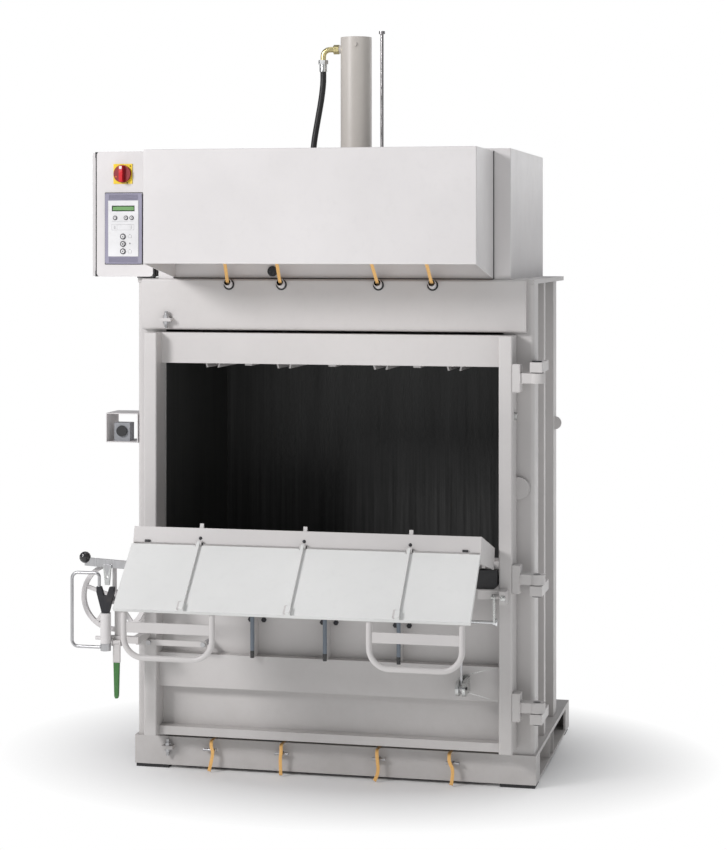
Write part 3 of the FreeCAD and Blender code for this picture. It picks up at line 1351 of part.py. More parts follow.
def build_lock():
    x, y = "lock_side", "(door_face + lock_setback)"
    shaft_bore = "lock_shaft + 4*running_gap"
    arm_y = (f"(door_face + lock_arm_setback - lock_arm_depth)", "(door_face + lock_arm_setback)")
    arm_top = "(lock_tube_bottom + lock_arm_height)"
    stile = f"-{STILE_OUTER}"
    arm = block((x, f"{stile} + lock_plate"), arm_y, ("lock_tube_bottom", arm_top))
    spacer = block((stile, f"{stile} + 2*lock_plate"), (arm_y[1], "door_face"),
                   ("lock_tube_bottom", arm_top))
    heel = block((stile, f"{stile} + 2*lock_plate"), (arm_y[0], arm_y[1]), ("lock_tube_bottom", arm_top))
    plate = block(("grip_side - grip_width/2", "grip_side + grip_width/2"),
                  (f"{arm_y[1]} - lock_plate", arm_y[1]), (arm_top, "lock_plate_top"))
    grip_y = "(door_face + grip_setback)"
    ears = []
    for start in ("grip_side - grip_width/2 - sliding_gap - grip_thick/2",
                  "grip_side + grip_width/2 + sliding_gap"):
        ears.append(fuse(block((start, f"{start} + grip_thick/2"), (grip_y, arm_y[1]),
                               ("grip_axis_height - grip_width/2", "lock_tube_bottom")),
                         block((start, f"{start} + grip_thick/2"), (grip_y, arm_y[1]),
                               ("lock_tube_bottom", arm_top)),
                         rod("x", (start, grip_y, "grip_axis_height"), "grip_thick/2", "grip_width")))
    lever_room = block(("grip_side - grip_width/2 - sliding_gap", "grip_side + grip_width/2 + sliding_gap"),
                       (f"{grip_y} - grip_width", f"{grip_y} + grip_thick + sliding_gap"),
                       ("lock_tube_bottom - grip_width", f"{arm_top} + grip_width"))
    tube_room = rod("z", (x, y, "lock_tube_bottom - 1"), "lock_tube_top - lock_tube_bottom + 2",
                    "lock_tube + 2*running_gap")
    pin_bore = rod("x", ("grip_side - grip_width", grip_y, "grip_axis_height"), "2*grip_width",
                   "grip_thick + 2*running_gap")
    node(cut(fuse(cut(fuse(arm, heel, spacer, plate), tube_room, lever_room), *ears), pin_bore),
         "lock_bracket")
    node(rod("x", ("grip_side - grip_width/2 - grip_thick*0.6", grip_y, "grip_axis_height"),
             "grip_width + 1.2*grip_thick", "grip_thick", name="GripPin"), "grip_pin")
    tube = fuse(rod("z", (x, y, "lock_tube_bottom"), "lock_tube_top - lock_tube_bottom", "lock_tube"),
                rod("x", (f"{x} - lock_tube/2 - lock_stud_reach", y, "lock_stud_height"),
                    "lock_stud_reach + lock_tube/4", "lock_stud"))
    node(cut(tube, rod("z", (x, y, "lock_tube_bottom - 1"), "lock_tube_top - lock_tube_bottom + 2",
                       shaft_bore)), "lock_tube")

    collar_low = "(lock_tube_bottom - sliding_gap - lock_collar_height)"
    shaft = fuse(rod("z", (x, y, collar_low), f"lock_tube_top + sliding_gap - {collar_low}", "lock_shaft"),
                 rod("z", (x, y, collar_low), "lock_collar_height", "lock_tube"))
    base, half = "(lock_tube_top + sliding_gap)", "fork_width/2"
    prong, notch = "fork_width/4", "prong_foot/2"
    ring = [(f"{x} - prong_foot", base), (f"{x} + prong_foot", base),
            (f"{x} + {half}", "fork_shoulder"), (f"{x} + {half}", "fork_top"),
            (f"{x} + {half} - {prong}", "fork_top"), (f"{x} + {notch}", "fork_notch"),
            (f"{x} - {notch}", "fork_notch"), (f"{x} - {half} + {prong}", "fork_top"),
            (f"{x} - {half}", "fork_top"), (f"{x} - {half}", "fork_shoulder")]
    fork = extruded("Fork", "XZ", [ring], f"{y} - fork_thick/2", f"{y} + fork_thick/2")
    node(shaft, "lock_shaft")
    node(fork, "lock_fork")
    side, centre_y = size("lock_side"), size("door_face") + size("lock_setback")
    prong_x = side - size("fork_width")/2 + size("fork_width")/8
    points = [Vector(prong_x, centre_y, size("fork_top")), Vector(prong_x, centre_y, size("bow_top")),
              Vector(size("bow_side"), centre_y, size("bow_top")),
              Vector(size("bow_side"), centre_y, size("bow_bottom")),
              Vector(side - size("lock_tube")/2 - size("running_gap"), centre_y, size("bow_bottom"))]
    bow = bent_tube(points, [size("bow_size")*1.2, size("bow_bend"), size("bow_bend")], size("bow_size"))
    node(swept(bow, "Bow"), "lock_bow")

    build_wheel()
    build_levers(stile)


def build_wheel():
    x, y, z = "wheel_side", "(door_face + wheel_setback)", "wheel_height"
    rim_y = f"{y} - wheel_rim_thick/2"
    rim = cut(rod("y", (x, rim_y, z), "wheel_rim_thick", "2*wheel_radius"),
              rod("y", (x, f"{rim_y} - 1", z), "wheel_rim_thick + 2", "2*wheel_radius - 2*wheel_rim"))
    spokes = []
    for step in range(5):
        spoke = block(("-wheel_spoke/2", "wheel_spoke/2"), ("-wheel_spoke/3", "wheel_spoke/3"),
                      ("0", "wheel_radius - wheel_rim/2"), name="Spoke")
        spokes.append(place(turn(fuse(spoke), Y_AXIS, 72*step), x, y, z))
    hub = rod("y", (x, f"{y} - wheel_hub/2", z), "wheel_hub", "wheel_hub")
    node(cut(fuse(rim, hub, *spokes), rod("y", (x, f"{y} - wheel_hub", z), "2*wheel_hub",
                                          "spindle_size + 2*running_gap")), "clamp_wheel")
    nose = f"({POST_FRONT} - sliding_gap)"
    node(rod("y", (x, f"{y} - wheel_hub/2 - pin_head", z), f"{nose} - {y} + wheel_hub/2 + pin_head",
             "spindle_size", name="Spindle"), "clamp_spindle")
    stile = f"-{STILE_OUTER}"
    boss_y = ("(door_face + lock_plate*2)", f"({DOOR_REAR} - lock_plate*2)")
    boss = fuse(block((x, stile), boss_y,
                      ("wheel_height - spindle_size*1.2", "wheel_height + spindle_size*1.2")),
                rod("y", (x, boss_y[0], z), f"{boss_y[1]} - {boss_y[0]}", "spindle_size*2.4"))
    node(cut(boss, rod("y", (x, f"{boss_y[0]} - 1", z), f"{boss_y[1]} - {boss_y[0]} + 2",
                       "spindle_size + 2*running_gap")), "clamp_nut_block")


def build_levers(stile):
    x, y, z = "ball_arm_side", "(door_face + ball_arm_setback)", "ball_arm_height"
    bar = fuse(block(("-ball_arm_reach", "0"), ("-ball_arm_thick/2", "ball_arm_thick/2"),
                     ("-ball_arm_width/2", "ball_arm_width/2")),
               rod("y", ("0", "-ball_arm_thick/2", "0"), "ball_arm_thick", "ball_arm_width"))
    bored = cut(bar,
                rod("y", ("0", "-ball_arm_thick", "0"), "2*ball_arm_thick", "ball_arm_pin + 2*running_gap"))
    tongue = [("lock_side - tongue_width/2", z), ("lock_side - tongue_width/4", "fork_top + washer_gap"),
              ("lock_side + tongue_width/4", "fork_top + washer_gap"), ("lock_side + tongue_width/2", z)]
    flat = extruded("Tongue", "XZ", [tongue], f"{y} - ball_arm_thick*1.5", f"{y} - ball_arm_thick/2")
    hole = rod("y", ("lock_side", f"{y} - 2*ball_arm_thick", "fork_top + tongue_width"), "2*ball_arm_thick",
               "tongue_width/3")
    plate = cut(flat, hole)
    node(fuse(place(turn(fuse(bored), Y_AXIS, "ball_arm_tilt"), x, y, z), plate), "ball_lever")
    knob_x = "(ball_arm_side - ball_arm_reach*cos(ball_arm_tilt))"
    knob_z = "(ball_arm_height + ball_arm_reach*sin(ball_arm_tilt) + ball_rise)"
    cutter = place(turn(fuse(block(("-2*ball_arm_reach", "0"), ("-ball_arm_thick/2 - running_gap",
                                                                "ball_arm_thick/2 + running_gap"),
                                   ("-ball_arm_width/2 - running_gap", "ball_arm_width/2 + running_gap"))),
                        Y_AXIS, "ball_arm_tilt"), x, y, z)
    knob = turned("Knob", [(f"ball_size/2*{round(math.sin(math.pi*i/7), 5)}",
                            f"-ball_size/2*{round(math.cos(math.pi*i/7), 5)}") for i in range(8)])
    node(cut(place(fuse(knob), knob_x, y, knob_z), cutter), "lever_ball")
    node(fuse(block((f"{stile} - ball_arm_hub/2", stile),
                    ("door_face + lock_plate", "door_face + lock_plate*3"),
                    ("ball_arm_height - ball_arm_hub/2", "ball_arm_height + ball_arm_hub/2")),
              rod("y", (x, "door_face + lock_plate", z), "2*lock_plate", "ball_arm_hub"),
              rod("y", (x, f"{y} - ball_arm_thick/2 - pin_head", z),
                  f"door_face + lock_plate*2 - {y} + ball_arm_thick/2 + pin_head", "ball_arm_pin")),
         "ball_lever_pivot")
    grip_y = "(door_face + grip_setback)"
    low = "(grip_axis_height - grip_length)"
    sleeve_top = f"({low} + grip_sleeve)"
    x_limits = ("grip_side - grip_width/2", "grip_side + grip_width/2")
    flat_y = (f"{grip_y} - grip_thick/2", f"{grip_y} + grip_thick/2")
    tang_x = ("grip_side - grip_width/5", "grip_side + grip_width/5")
    flat = fuse(block(x_limits, flat_y, (sleeve_top, "grip_axis_height")),
                block(tang_x, flat_y, (low, sleeve_top)),
                rod("x", (x_limits[0], grip_y, "grip_axis_height"), "grip_width", "grip_thick*2"))
    node(cut(flat, rod("x", (f"{x_limits[0]} - 1", grip_y, "grip_axis_height"), "grip_width + 2",
                       "grip_thick + 2*running_gap")), "green_lever")
    foot = f"({low} - grip_thick/2)"
    taper = [("grip_side - grip_width*0.16", foot), ("grip_side + grip_width*0.16", foot),
             ("grip_side + grip_width*0.28", f"{foot} + grip_thick"),
             ("grip_side + grip_width*0.4", sleeve_top),
             ("grip_side - grip_width*0.4", sleeve_top),
             ("grip_side - grip_width*0.28", f"{foot} + grip_thick")]
    sleeve = extruded("Sleeve", "XZ", [taper], f"{grip_y} - grip_thick*0.75", f"{grip_y} + grip_thick*0.75")
    node(cut(sleeve, block(tang_x, flat_y, (low, f"{sleeve_top} + 1"))), "lever_grip")
    bar_y = ("(door_face - rib_bar)", "(door_face - rib_bar + lock_bar_thick)")
    z = ("lock_bar_height - lock_bar_width/2", "lock_bar_height + lock_bar_width/2")
    tie = block((f"{stile} - grip_thick*3", "lock_bar_end + lock_bar_width/2"), bar_y, z)
    studs = [(f"({stile} + stile_width/2)", "door_face"), ("lock_bar_end", "door_face + skin_setback")]
    node(cut(tie, *[rod("y", (place_x, f"{bar_y[0]} - 1", "lock_bar_height"), "lock_bar_thick + 2",
                        "flap_pin + 2*running_gap") for place_x, _ in studs]), "lock_tie_bar")
    pieces = []
    for place_x, wall in studs:
        pieces.append(fuse(rod("y", (place_x, f"{bar_y[0]} - bolt_size*0.4", "lock_bar_height"),
                               f"{wall} - {bar_y[0]} + bolt_size*0.4", "flap_pin"),
                           hexagon("y", (place_x, f"{bar_y[0]} - bolt_size*0.4", "lock_bar_height"),
                                   "bolt_size*0.4", "bolt_size"),
                           rod("y", (place_x, bar_y[1], "lock_bar_height"), f"{wall} - {bar_y[1]}",
                               "lock_bar_width*0.9")))
    node(group(*pieces), "tie_bar_studs")


# ---------------------------------------------------------------- control cabinet

def build_cabinet():
    x = ("cabinet_side", "cabinet_side + cabinet_width")
    z = ("cabinet_bottom", "cabinet_bottom + cabinet_height")
    lid_front = "(door_face + cabinet_front)"
    lid_rear = f"({lid_front} + cabinet_lid)"
    rear = f"({lid_front} + cabinet_depth)"
    ring = [(x[0], z[0]), (x[1], z[0]), (x[1], z[1]), (x[0], z[1])]
    lid = round_edges(extruded("Lid", "XZ", [ring], lid_front, lid_rear), "cabinet_round",
                      runs_along(Y_AXIS))
    node(lid, "cabinet_lid")
    node(block((f"{x[0]} + cabinet_seam", f"{x[1]} - cabinet_seam"),
               (lid_rear, f"{lid_rear} + cabinet_seam"),
               (f"{z[0]} + cabinet_seam", f"{z[1]} - cabinet_seam"), name="Seal"), "cabinet_seal")
    tray = round_edges(extruded("Tray", "XZ", [ring], f"{lid_rear} + cabinet_seam", rear), "cabinet_round",
                       runs_along(Y_AXIS))
    inside = block((f"{x[0]} + cabinet_wall", f"{x[1]} - cabinet_wall"),
                   (lid_rear, f"{rear} - cabinet_wall"),
                   (f"{z[0]} + cabinet_wall", f"{z[1]} - cabinet_wall"))
    node(cut(tray, inside), "cabinet_body")
    node(block((f"{x[0]} - backing_reach", "-housing_width/2"), (rear, f"{rear} + 2*cabinet_wall"),
               (f"{z[0]} + cabinet_round", f"{z[1]} - cabinet_round"), name="Backing"), "cabinet_backing")
    plate_half = "switch_plate/2"
    plate_front = f"({lid_front} - cabinet_wall)"
    node(block((f"switch_x - {plate_half}", f"switch_x + {plate_half}"), (plate_front, lid_front),
               (f"switch_z - {plate_half}", f"switch_z + {plate_half}"), name="SwitchPlate"), "switch_plate")
    knob_front = f"({plate_front} - sliding_gap - switch_depth)"
    node(fuse(rod("y", ("switch_x", f"{plate_front} - sliding_gap - switch_depth*0.4", "switch_z"),
                  "switch_depth*0.4", "switch_size"),
              block(("switch_x - switch_depth/4", "switch_x + switch_depth/4"),
                    (knob_front, f"{plate_front} - sliding_gap - switch_depth*0.3"),
                    ("switch_z - switch_size*0.46", "switch_z + switch_size*0.46"))), "switch_knob")

    panel_x = ("panel_left", "panel_left + panel_width")
    panel_z = ("panel_bottom", "panel_bottom + panel_height")
    panel_front = f"({lid_front} - panel_thick)"
    film_front = f"({panel_front} - membrane_thick)"
    small, large = "small_key", "large_key"
    keys = [("key_left", "small_key_left", "small_key_z", small),
            ("key_centre", "small_key_centre", "small_key_z", small),
            ("key_right", "small_key_right", "small_key_z", small),
            ("key_up", "large_key_x", "large_key_z + large_key_pitch", large),
            ("key_stop", "large_key_x", "large_key_z", large),
            ("key_down", "large_key_x", "large_key_z - large_key_pitch", large)]

    def bores(start, depth):
        return [rod("y", (key_x, start, key_z), depth, f"{key_size} + 2*sliding_gap")
                for _, key_x, key_z, key_size in keys]

    panel = round_edges(extruded("Panel", "XZ", [[(panel_x[0], panel_z[0]), (panel_x[1], panel_z[0]),
                                                  (panel_x[1], panel_z[1]), (panel_x[0], panel_z[1])]],
                                 panel_front, lid_front), "panel_thick", runs_along(Y_AXIS))
    node(cut(panel, *bores(f"{panel_front} - 1", "panel_thick + 2")), "keypad_panel")
    film_z = (f"{panel_z[0]} + membrane_foot", f"{panel_z[1]} - membrane_foot")
    screen_z = ("screen_z - screen_height/2", "screen_z + screen_height/2")
    screen_x = ("panel_left + panel_width/2 - screen_width/2", "panel_left + panel_width/2 + screen_width/2")
    film = block((f"{panel_x[0]} + membrane_inset", f"{panel_x[1]} - membrane_inset"),
                 (film_front, panel_front), film_z)
    node(cut(film, *bores(f"{film_front} - 1", "membrane_thick + 2"),
             block(screen_x, (f"{film_front} - 1", f"{panel_front} + 1"), screen_z)), "keypad_membrane")
    node(block(screen_x, (f"{film_front} + membrane_thick/2", panel_front), screen_z, name="Screen"),
         "keypad_screen")
    for label, key_x, key_z, key_size in keys:
        node(rod("y", (key_x, f"{film_front} - key_height", key_z),
                 "key_height + membrane_thick + panel_thick/2",
                 key_size, name="Key"), label)


# ---------------------------------------------------------------- side push button

def build_push_button():
    x = ("guard_outer", "guard_inner")
    y = (POST_FRONT, f"({POST_FRONT} + guard_depth)")
    z = ("guard_bottom", "guard_bottom + guard_height")
    node(hollow(x, y, z, "guard_sheet", "y"), "button_guard")
    half = "button_box/2"
    box_front = f"({POST_FRONT} + button_box_depth/2)"
    box = block((f"button_x - {half}", f"button_x + {half}"), (box_front, f"{box_front} + button_box_depth"),
                ("guard_bottom + guard_sheet", f"button_z + {half}"))
    well = rod("y", ("button_x", f"{box_front} - 1", "button_z"), "button_box_depth/2",
               "button_size + 2*sliding_gap")
    node(cut(box, well), "button_box")
    node(rod("y", ("button_x", f"{box_front} - button_travel*2", "button_z"),
             "button_travel*2 + button_box_depth/4", "button_size", name="Button"), "push_button")


# ---------------------------------------------------------------- straps, cleats, door stops

def build_straps():
    tilt = math.radians(size("tube_tilt"))
    aim = Vector(0, -math.sin(tilt), math.cos(tilt))
    face_y = size("door_face") + size("door_depth") + size("door_clearance") - size("header_depth")
    outside = size("tube_length") - size("tube_inside")
    roll = size("strap_roll")/2 + size("strap_thick")/2 + size("sliding_gap")
    centre = Vector(0, size("reel_depth_y"), size("reel_height"))
    slack = {1: 0.97*size("strap_slack"), 2: 0.63*size("strap_slack"), 3: None, 4: None}
    places = (-size("outer_tube_place"), -size("inner_strap_place"), size("inner_strap_place"),
              size("outer_tube_place"))
    for number, place_x in enumerate(places, 1):
        base = Vector(place_x, face_y, size("tube_height"))
        mouth = base + aim*(outside - size("strap_width")/4)
        end = base - aim*(size("tube_inside") + size("tube_ring")/4)
        hang = Vector(place_x, end.y + size("strap_width"), end.z - size("strap_slack")*2)
        depth = slack[number]
        way = mouth if depth is None else Vector(place_x, size("door_face") + depth, size("hood_lip") - 2)
        to_centre = centre + X_AXIS*place_x - way
        reach = math.sqrt(to_centre.Length**2 - roll**2)
        lean = math.atan2(-to_centre.y, to_centre.z) + math.asin(roll/to_centre.Length)
        start = way + Vector(0, -math.sin(lean), math.cos(lean))*reach
        points = [start] + ([way] if depth is not None else []) + [mouth, end, hang]
        bends = ([size("strap_slack")] if depth is not None else []) + [size("strap_width"),
                                                                        size("strap_width")*0.8]
        node(swept(bent_strap(points, bends, size("strap_width"), size("strap_thick")), "Strap"),
             f"strap_{number}")


def build_strap_ends():
    """The straps' free ends come out of the floor's slots and hang over the cleats."""
    base_y = f"({BASE_FRONT} - cleat_reach)"
    cleats = []
    places = ("-outer_strap_place", "-inner_strap_place", "inner_strap_place", "outer_strap_place")
    for centre in places:
        cleats.append(fuse(rod("y", (centre, base_y, "cleat_height"), "cleat_reach", "cleat_size"),
                           rod("x", (f"{centre} - cleat_length/2", base_y, "cleat_height"), "cleat_length",
                               "cleat_size")))
    node(group(*cleats), "strap_cleats")
    top = size("foot_height") + size("base_height") + size("strap_thick")/2 + size("running_gap")
    front = size("door_face") + size("base_setback") - size("cleat_reach") - size("cleat_size")*1.2
    half, thick = size("strap_width")/2, size("strap_thick")
    # Each end's drift sideways and its height, as shares of the cleat's length and of the deck's height.
    drift = {1: ((0.17, 0.77), (0.35, 0.62), (0, 0.05)), 2: ((0.04, 0.75), (-0.04, 0.54), (0.02, 0.05)),
             3: ((-0.06, 0.78), (0.08, 0.27), (-0.25, 0.05)),
             4: ((-0.21, 0.73), (0.13, 0.51), (-0.06, 0.05))}
    wide, deck = size("cleat_length"), size("foot_height") + size("base_height")
    slots = (-size("outer_strap_place"), -size("inner_strap_place"), size("inner_strap_place"),
             size("outer_strap_place"))
    for number, centre in enumerate(slots, 1):
        upper_x = centre + drift[number][0][0]*wide
        points = [Vector(upper_x, front + size("strap_tail"), top), Vector(upper_x, front, top),
                  Vector(upper_x, front, drift[number][0][1]*deck)]
        first = bent_strap(points, size("strap_width"), size("strap_width"), thick)
        line = [(centre + across*wide, height*deck) for across, height in drift[number]]
        ring = [(across - half, height) for across, height in line] + \
               [(across + half, height) for across, height in reversed(line)]
        face = Part.Face(Part.makePolygon([Vector(a, front - thick/2, h) for a, h in ring + ring[:1]]))
        node(swept(first.fuse(face.extrude(Vector(0, thick, 0))).removeSplitter(), "StrapEnd"),
             f"strap_end_{number}")


def build_stops():
    x = ("stop_side - stop_bolt*1.7", "stop_side + stop_bolt*1.7")
    stops = {"header_stop": (HEADER_FRONT, "header_stop_z", f"({HEADER_FRONT} - stop_bolt*1.2)"),
             "base_stop": (BASE_FRONT, "base_stop_z", f"({BASE_FRONT} - stop_bolt*1.2)")}
    for label, (wall, centre, axis_y) in stops.items():
        lug = block(x, (f"{axis_y} - stop_bolt", wall),
                    (f"{centre} - stop_bolt/2", f"{centre} + stop_bolt/2"))
        bolt_bore = rod("z", ("stop_side", axis_y, f"{centre} - stop_bolt"), "2*stop_bolt",
                        "stop_bolt + 2*running_gap")
        node(cut(lug, bolt_bore), f"{label}_lug")
        node(fuse(rod("z", ("stop_side", axis_y, f"{centre} - stop_bolt_length/2"), "stop_bolt_length",
                      "stop_bolt"),
                  hexagon("z", ("stop_side", axis_y, f"{centre} + stop_bolt/2"), "stop_bolt*0.8",
                          "stop_bolt*1.6"),
                  hexagon("z", ("stop_side", axis_y, f"{centre} - stop_bolt*1.3"), "stop_bolt*0.8",
                          "stop_bolt*1.6")), f"{label}_bolt")


# ---------------------------------------------------------------- the whole machine

for build in (build_base, build_frame, build_header, build_housing, build_power_unit, build_hood,
              build_cylinder, build_platen, build_door, build_hinges, build_flap, build_grab_handles,
              build_latch, build_lock, build_cabinet, build_push_button, build_straps,
              build_strap_ends, build_stops):
    build()

# Pieces that are welded, bolted or glued to one another share a file.
WELDED = {
    "base_frame": ("base_frame", "deck_plate"),
    "press_frame": ("side_wall_left", "side_wall_right", "front_post_left", "front_post_right", "rear_wall"),
    "press_cylinder": ("press_cylinder", "flange_bolts", "bleed_screw"),
    "press_platen": ("press_platen", "strap_guides", "platen_shoes"),
    "door_frame": ("door_frame", "door_ribs", "hinge_brackets", "hinge_arms", "flap_hinge_ears",
                   "latch_block_left", "latch_block_right", "pull_clevis"),
    "lock_bracket": ("lock_bracket", "clamp_nut_block"),
    "latch_bail": ("latch_arms", "latch_cross_rod"),
}
BOLTED = {
    "strap_tubes": tuple(f"strap_tube_{n}" for n in range(1, 5)) + tuple(f"tube_ring_{n}" for n in range(1,
                                                                                                         5)),
    "housing_grommets": ("gauge_bush", "cover_plug"),
    "power_unit": ("oil_tank", "pump_motor", "valve_block", "valve_fitting"),
    "reel_axle": ("reel_axle", "reel_axle_blocks"),
    "port_fitting": ("port_nut", "port_elbow", "hose_ferrule"),
    "door_skin": ("door_skin", "door_liner"),
    "door_fasteners": ("skin_bolts", "stile_bolts", "flap_pins", "clevis_pin", "rib_bar_caps"),
    "hinge_pins": ("hinge_pins", "hinge_washers"),
    "flap_lower": ("flap_lower", "fold_pins"),
    "grab_handles": ("grab_handle_left", "grab_handle_right"),
    "lock_handle": ("lock_shaft", "lock_fork", "lock_bow"),
    "clamp_wheel": ("clamp_wheel", "clamp_spindle"),
    "ball_lever": ("ball_lever", "lever_ball"),
    "lock_links": ("lock_tie_bar", "tie_bar_studs", "ball_lever_pivot", "grip_pin"),
    "cabinet_body": ("cabinet_body", "cabinet_backing"),
    "keypad_film": ("keypad_membrane", "keypad_screen"),
    "button_guard": ("button_guard", "button_box"),
    "straps": tuple(f"strap_{n}" for n in range(1, 5)),
    "strap_ends": tuple(f"strap_end_{n}" for n in range(1, 5)),
    "door_stops": ("header_stop_lug", "header_stop_bolt", "base_stop_lug", "base_stop_bolt"),
}
for number in range(1, 5):
    BOLTED[f"strap_reel_{number}"] = (f"strap_reel_{number}", f"strap_roll_{number}")
for label, members in {**WELDED, **BOLTED}.items():
    pieces = [nodes.pop(member) for member in members]
    for piece in pieces:
        piece.Label = f"{piece.Label} piece"
    node(fuse(*pieces) if label in WELDED else group(*pieces), label)
doc.recompute()

faults = []
for obj in doc.Objects:
    if "Invalid" in obj.State or "Error" in obj.State:
        faults.append(f"{obj.Name} ({obj.Label}): {obj.State}")
for label, obj in nodes.items():
    if obj.Shape.isNull() or not obj.Shape.isValid() or not obj.Shape.Solids:
        faults.append(f"{label}: no valid solid")
if faults:
    raise ValueError("; ".join(faults[:12]))

os.makedirs("parts", exist_ok=True)
for label, obj in nodes.items():
    obj.Shape.exportStep(f"parts/{label}.step")
print("nodes:", len(nodes))
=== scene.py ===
"""Looks of the vertical recycling baler: materials, straps, welds, screws, key symbols, lights and camera.

Lengths are metres in the part's frame: +X is the machine's right, -Y faces the operator and +Z is up.
"""
import math
import random

import bmesh
import bpy
from mathutils import Matrix, Vector


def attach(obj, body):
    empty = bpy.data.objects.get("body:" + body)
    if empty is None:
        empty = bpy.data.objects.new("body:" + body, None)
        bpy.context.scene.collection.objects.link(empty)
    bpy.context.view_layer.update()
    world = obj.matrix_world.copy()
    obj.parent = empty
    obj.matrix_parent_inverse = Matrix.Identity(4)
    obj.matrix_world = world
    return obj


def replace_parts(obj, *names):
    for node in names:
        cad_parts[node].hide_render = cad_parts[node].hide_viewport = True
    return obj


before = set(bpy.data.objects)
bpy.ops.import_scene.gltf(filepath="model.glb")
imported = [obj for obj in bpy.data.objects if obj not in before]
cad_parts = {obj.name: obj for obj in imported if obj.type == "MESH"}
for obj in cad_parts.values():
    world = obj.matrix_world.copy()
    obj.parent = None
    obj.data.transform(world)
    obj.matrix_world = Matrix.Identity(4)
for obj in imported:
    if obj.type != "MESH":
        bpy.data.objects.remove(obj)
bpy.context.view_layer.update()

X, Y, Z = range(3)
SIDES = (-1, 1)
TO_OPERATOR = Vector((0, -1, 0))
FULL_WHITE = (1.0, 1.0, 1.0, 1.0)


# ---------------------------------------------------------------- materials

PAINT_EDGE, FINE_EDGE = 0.0012, 0.0008    # radius to which the shading rounds an edge
DUST = (0.30, 0.28, 0.25)
CARDBOARD_DUST = (0.20, 0.16, 0.12)
HAND_MARKS = (0.40, 0.38, 0.35)
REEL_AXLE_Y, REEL_AXLE_Z = -0.556, 1.968
REEL_RING = 0.0022                        # radial distance between two wound layers
WINDOW_X, WINDOW_Z = -0.748, 1.968        # middle of the display's window
WINDOW_HALF_WIDTH, WINDOW_HALF_HEIGHT, WINDOW_RIM = 0.0385, 0.0062, 0.0006


class Tree:
    """Builds a node material step by step."""

    def __init__(self, name):
        self.material = bpy.data.materials.new(name)
        self.material.use_nodes = True
        self.nodes = self.material.node_tree.nodes
        self.links = self.material.node_tree.links
        self.nodes.clear()
        self.out = self.add("ShaderNodeOutputMaterial")
        self.surface = self.add("ShaderNodeBsdfPrincipled")
        self.links.new(self.surface.outputs["BSDF"], self.out.inputs["Surface"])
        self.where = self.add("ShaderNodeTexCoord").outputs["Object"]

    def add(self, kind, **settings):
        node = self.nodes.new(kind)
        for key, value in settings.items():
            setattr(node, key, value)
        return node

    def put(self, socket, value):
        """Links a socket to a socket, or gives it a plain value."""
        if isinstance(value, bpy.types.NodeSocket):
            self.links.new(value, socket)
        elif isinstance(value, (tuple, list)) and len(value) == 3 and socket.type == "RGBA":
            socket.default_value = (*value, 1.0)
        else:
            socket.default_value = value

    def stretched(self, x, y, z):
        node = self.add("ShaderNodeMapping")
        self.put(node.inputs["Vector"], self.where)
        node.inputs["Scale"].default_value = (x, y, z)
        return node.outputs["Vector"]

    def noise(self, scale, detail=4.0, rough=0.5, where=None):
        node = self.add("ShaderNodeTexNoise")
        self.put(node.inputs["Vector"], where or self.where)
        for key, value in (("Scale", scale), ("Detail", detail), ("Roughness", rough)):
            node.inputs[key].default_value = value
        return node.outputs["Fac"]

    def wave(self, scale, direction):
        node = self.add("ShaderNodeTexWave", bands_direction=direction)
        self.put(node.inputs["Vector"], self.where)
        node.inputs["Scale"].default_value = scale
        node.inputs["Distortion"].default_value = 0.0
        return node.outputs["Fac"]

    def ramp(self, value, low, high, start=0.0, end=1.0):
        """Maps low to start and high to end, and holds what lies outside."""
        node = self.add("ShaderNodeMapRange")
        self.put(node.inputs["Value"], value)
        for key, amount in (("From Min", low), ("From Max", high), ("To Min", start), ("To Max", end)):
            node.inputs[key].default_value = amount
        return node.outputs["Result"]

    def math(self, how, a, b=0.0):
        node = self.add("ShaderNodeMath", operation=how)
        self.put(node.inputs[0], a)
        self.put(node.inputs[1], b)
        return node.outputs["Value"]

    def mix(self, amount, a, b):
        """Mixes two colours: amount 0 gives a, 1 gives b."""
        node = self.add("ShaderNodeMix", data_type="RGBA")
        for socket, value in ((0, amount), (6, a), (7, b)):
            self.put(node.inputs[socket], value)
        return node.outputs[2]

    def bump(self, height, strength, distance, normal=None):
        node = self.add("ShaderNodeBump")
        node.inputs["Strength"].default_value = strength
        node.inputs["Distance"].default_value = distance
        self.put(node.inputs["Height"], height)
        if normal is not None:
            self.put(node.inputs["Normal"], normal)
        return node.outputs["Normal"]

    def rounded(self, radius):
        node = self.add("ShaderNodeBevel", samples=4)
        node.inputs["Radius"].default_value = radius
        return node.outputs["Normal"]

    def coordinate(self, axis):
        """The object coordinate along "X", "Y" or "Z"."""
        node = self.add("ShaderNodeSeparateXYZ")
        self.put(node.inputs[0], self.where)
        return node.outputs[axis]

    def set(self, **values):
        """Sets the surface's inputs, written with _ for a blank, and returns the material."""
        for key, value in values.items():
            self.put(self.surface.inputs[key.replace("_", " ")], value)
        return self.material


def tint(rgb, factor):
    return tuple(min(1.0, channel*factor) for channel in rgb)


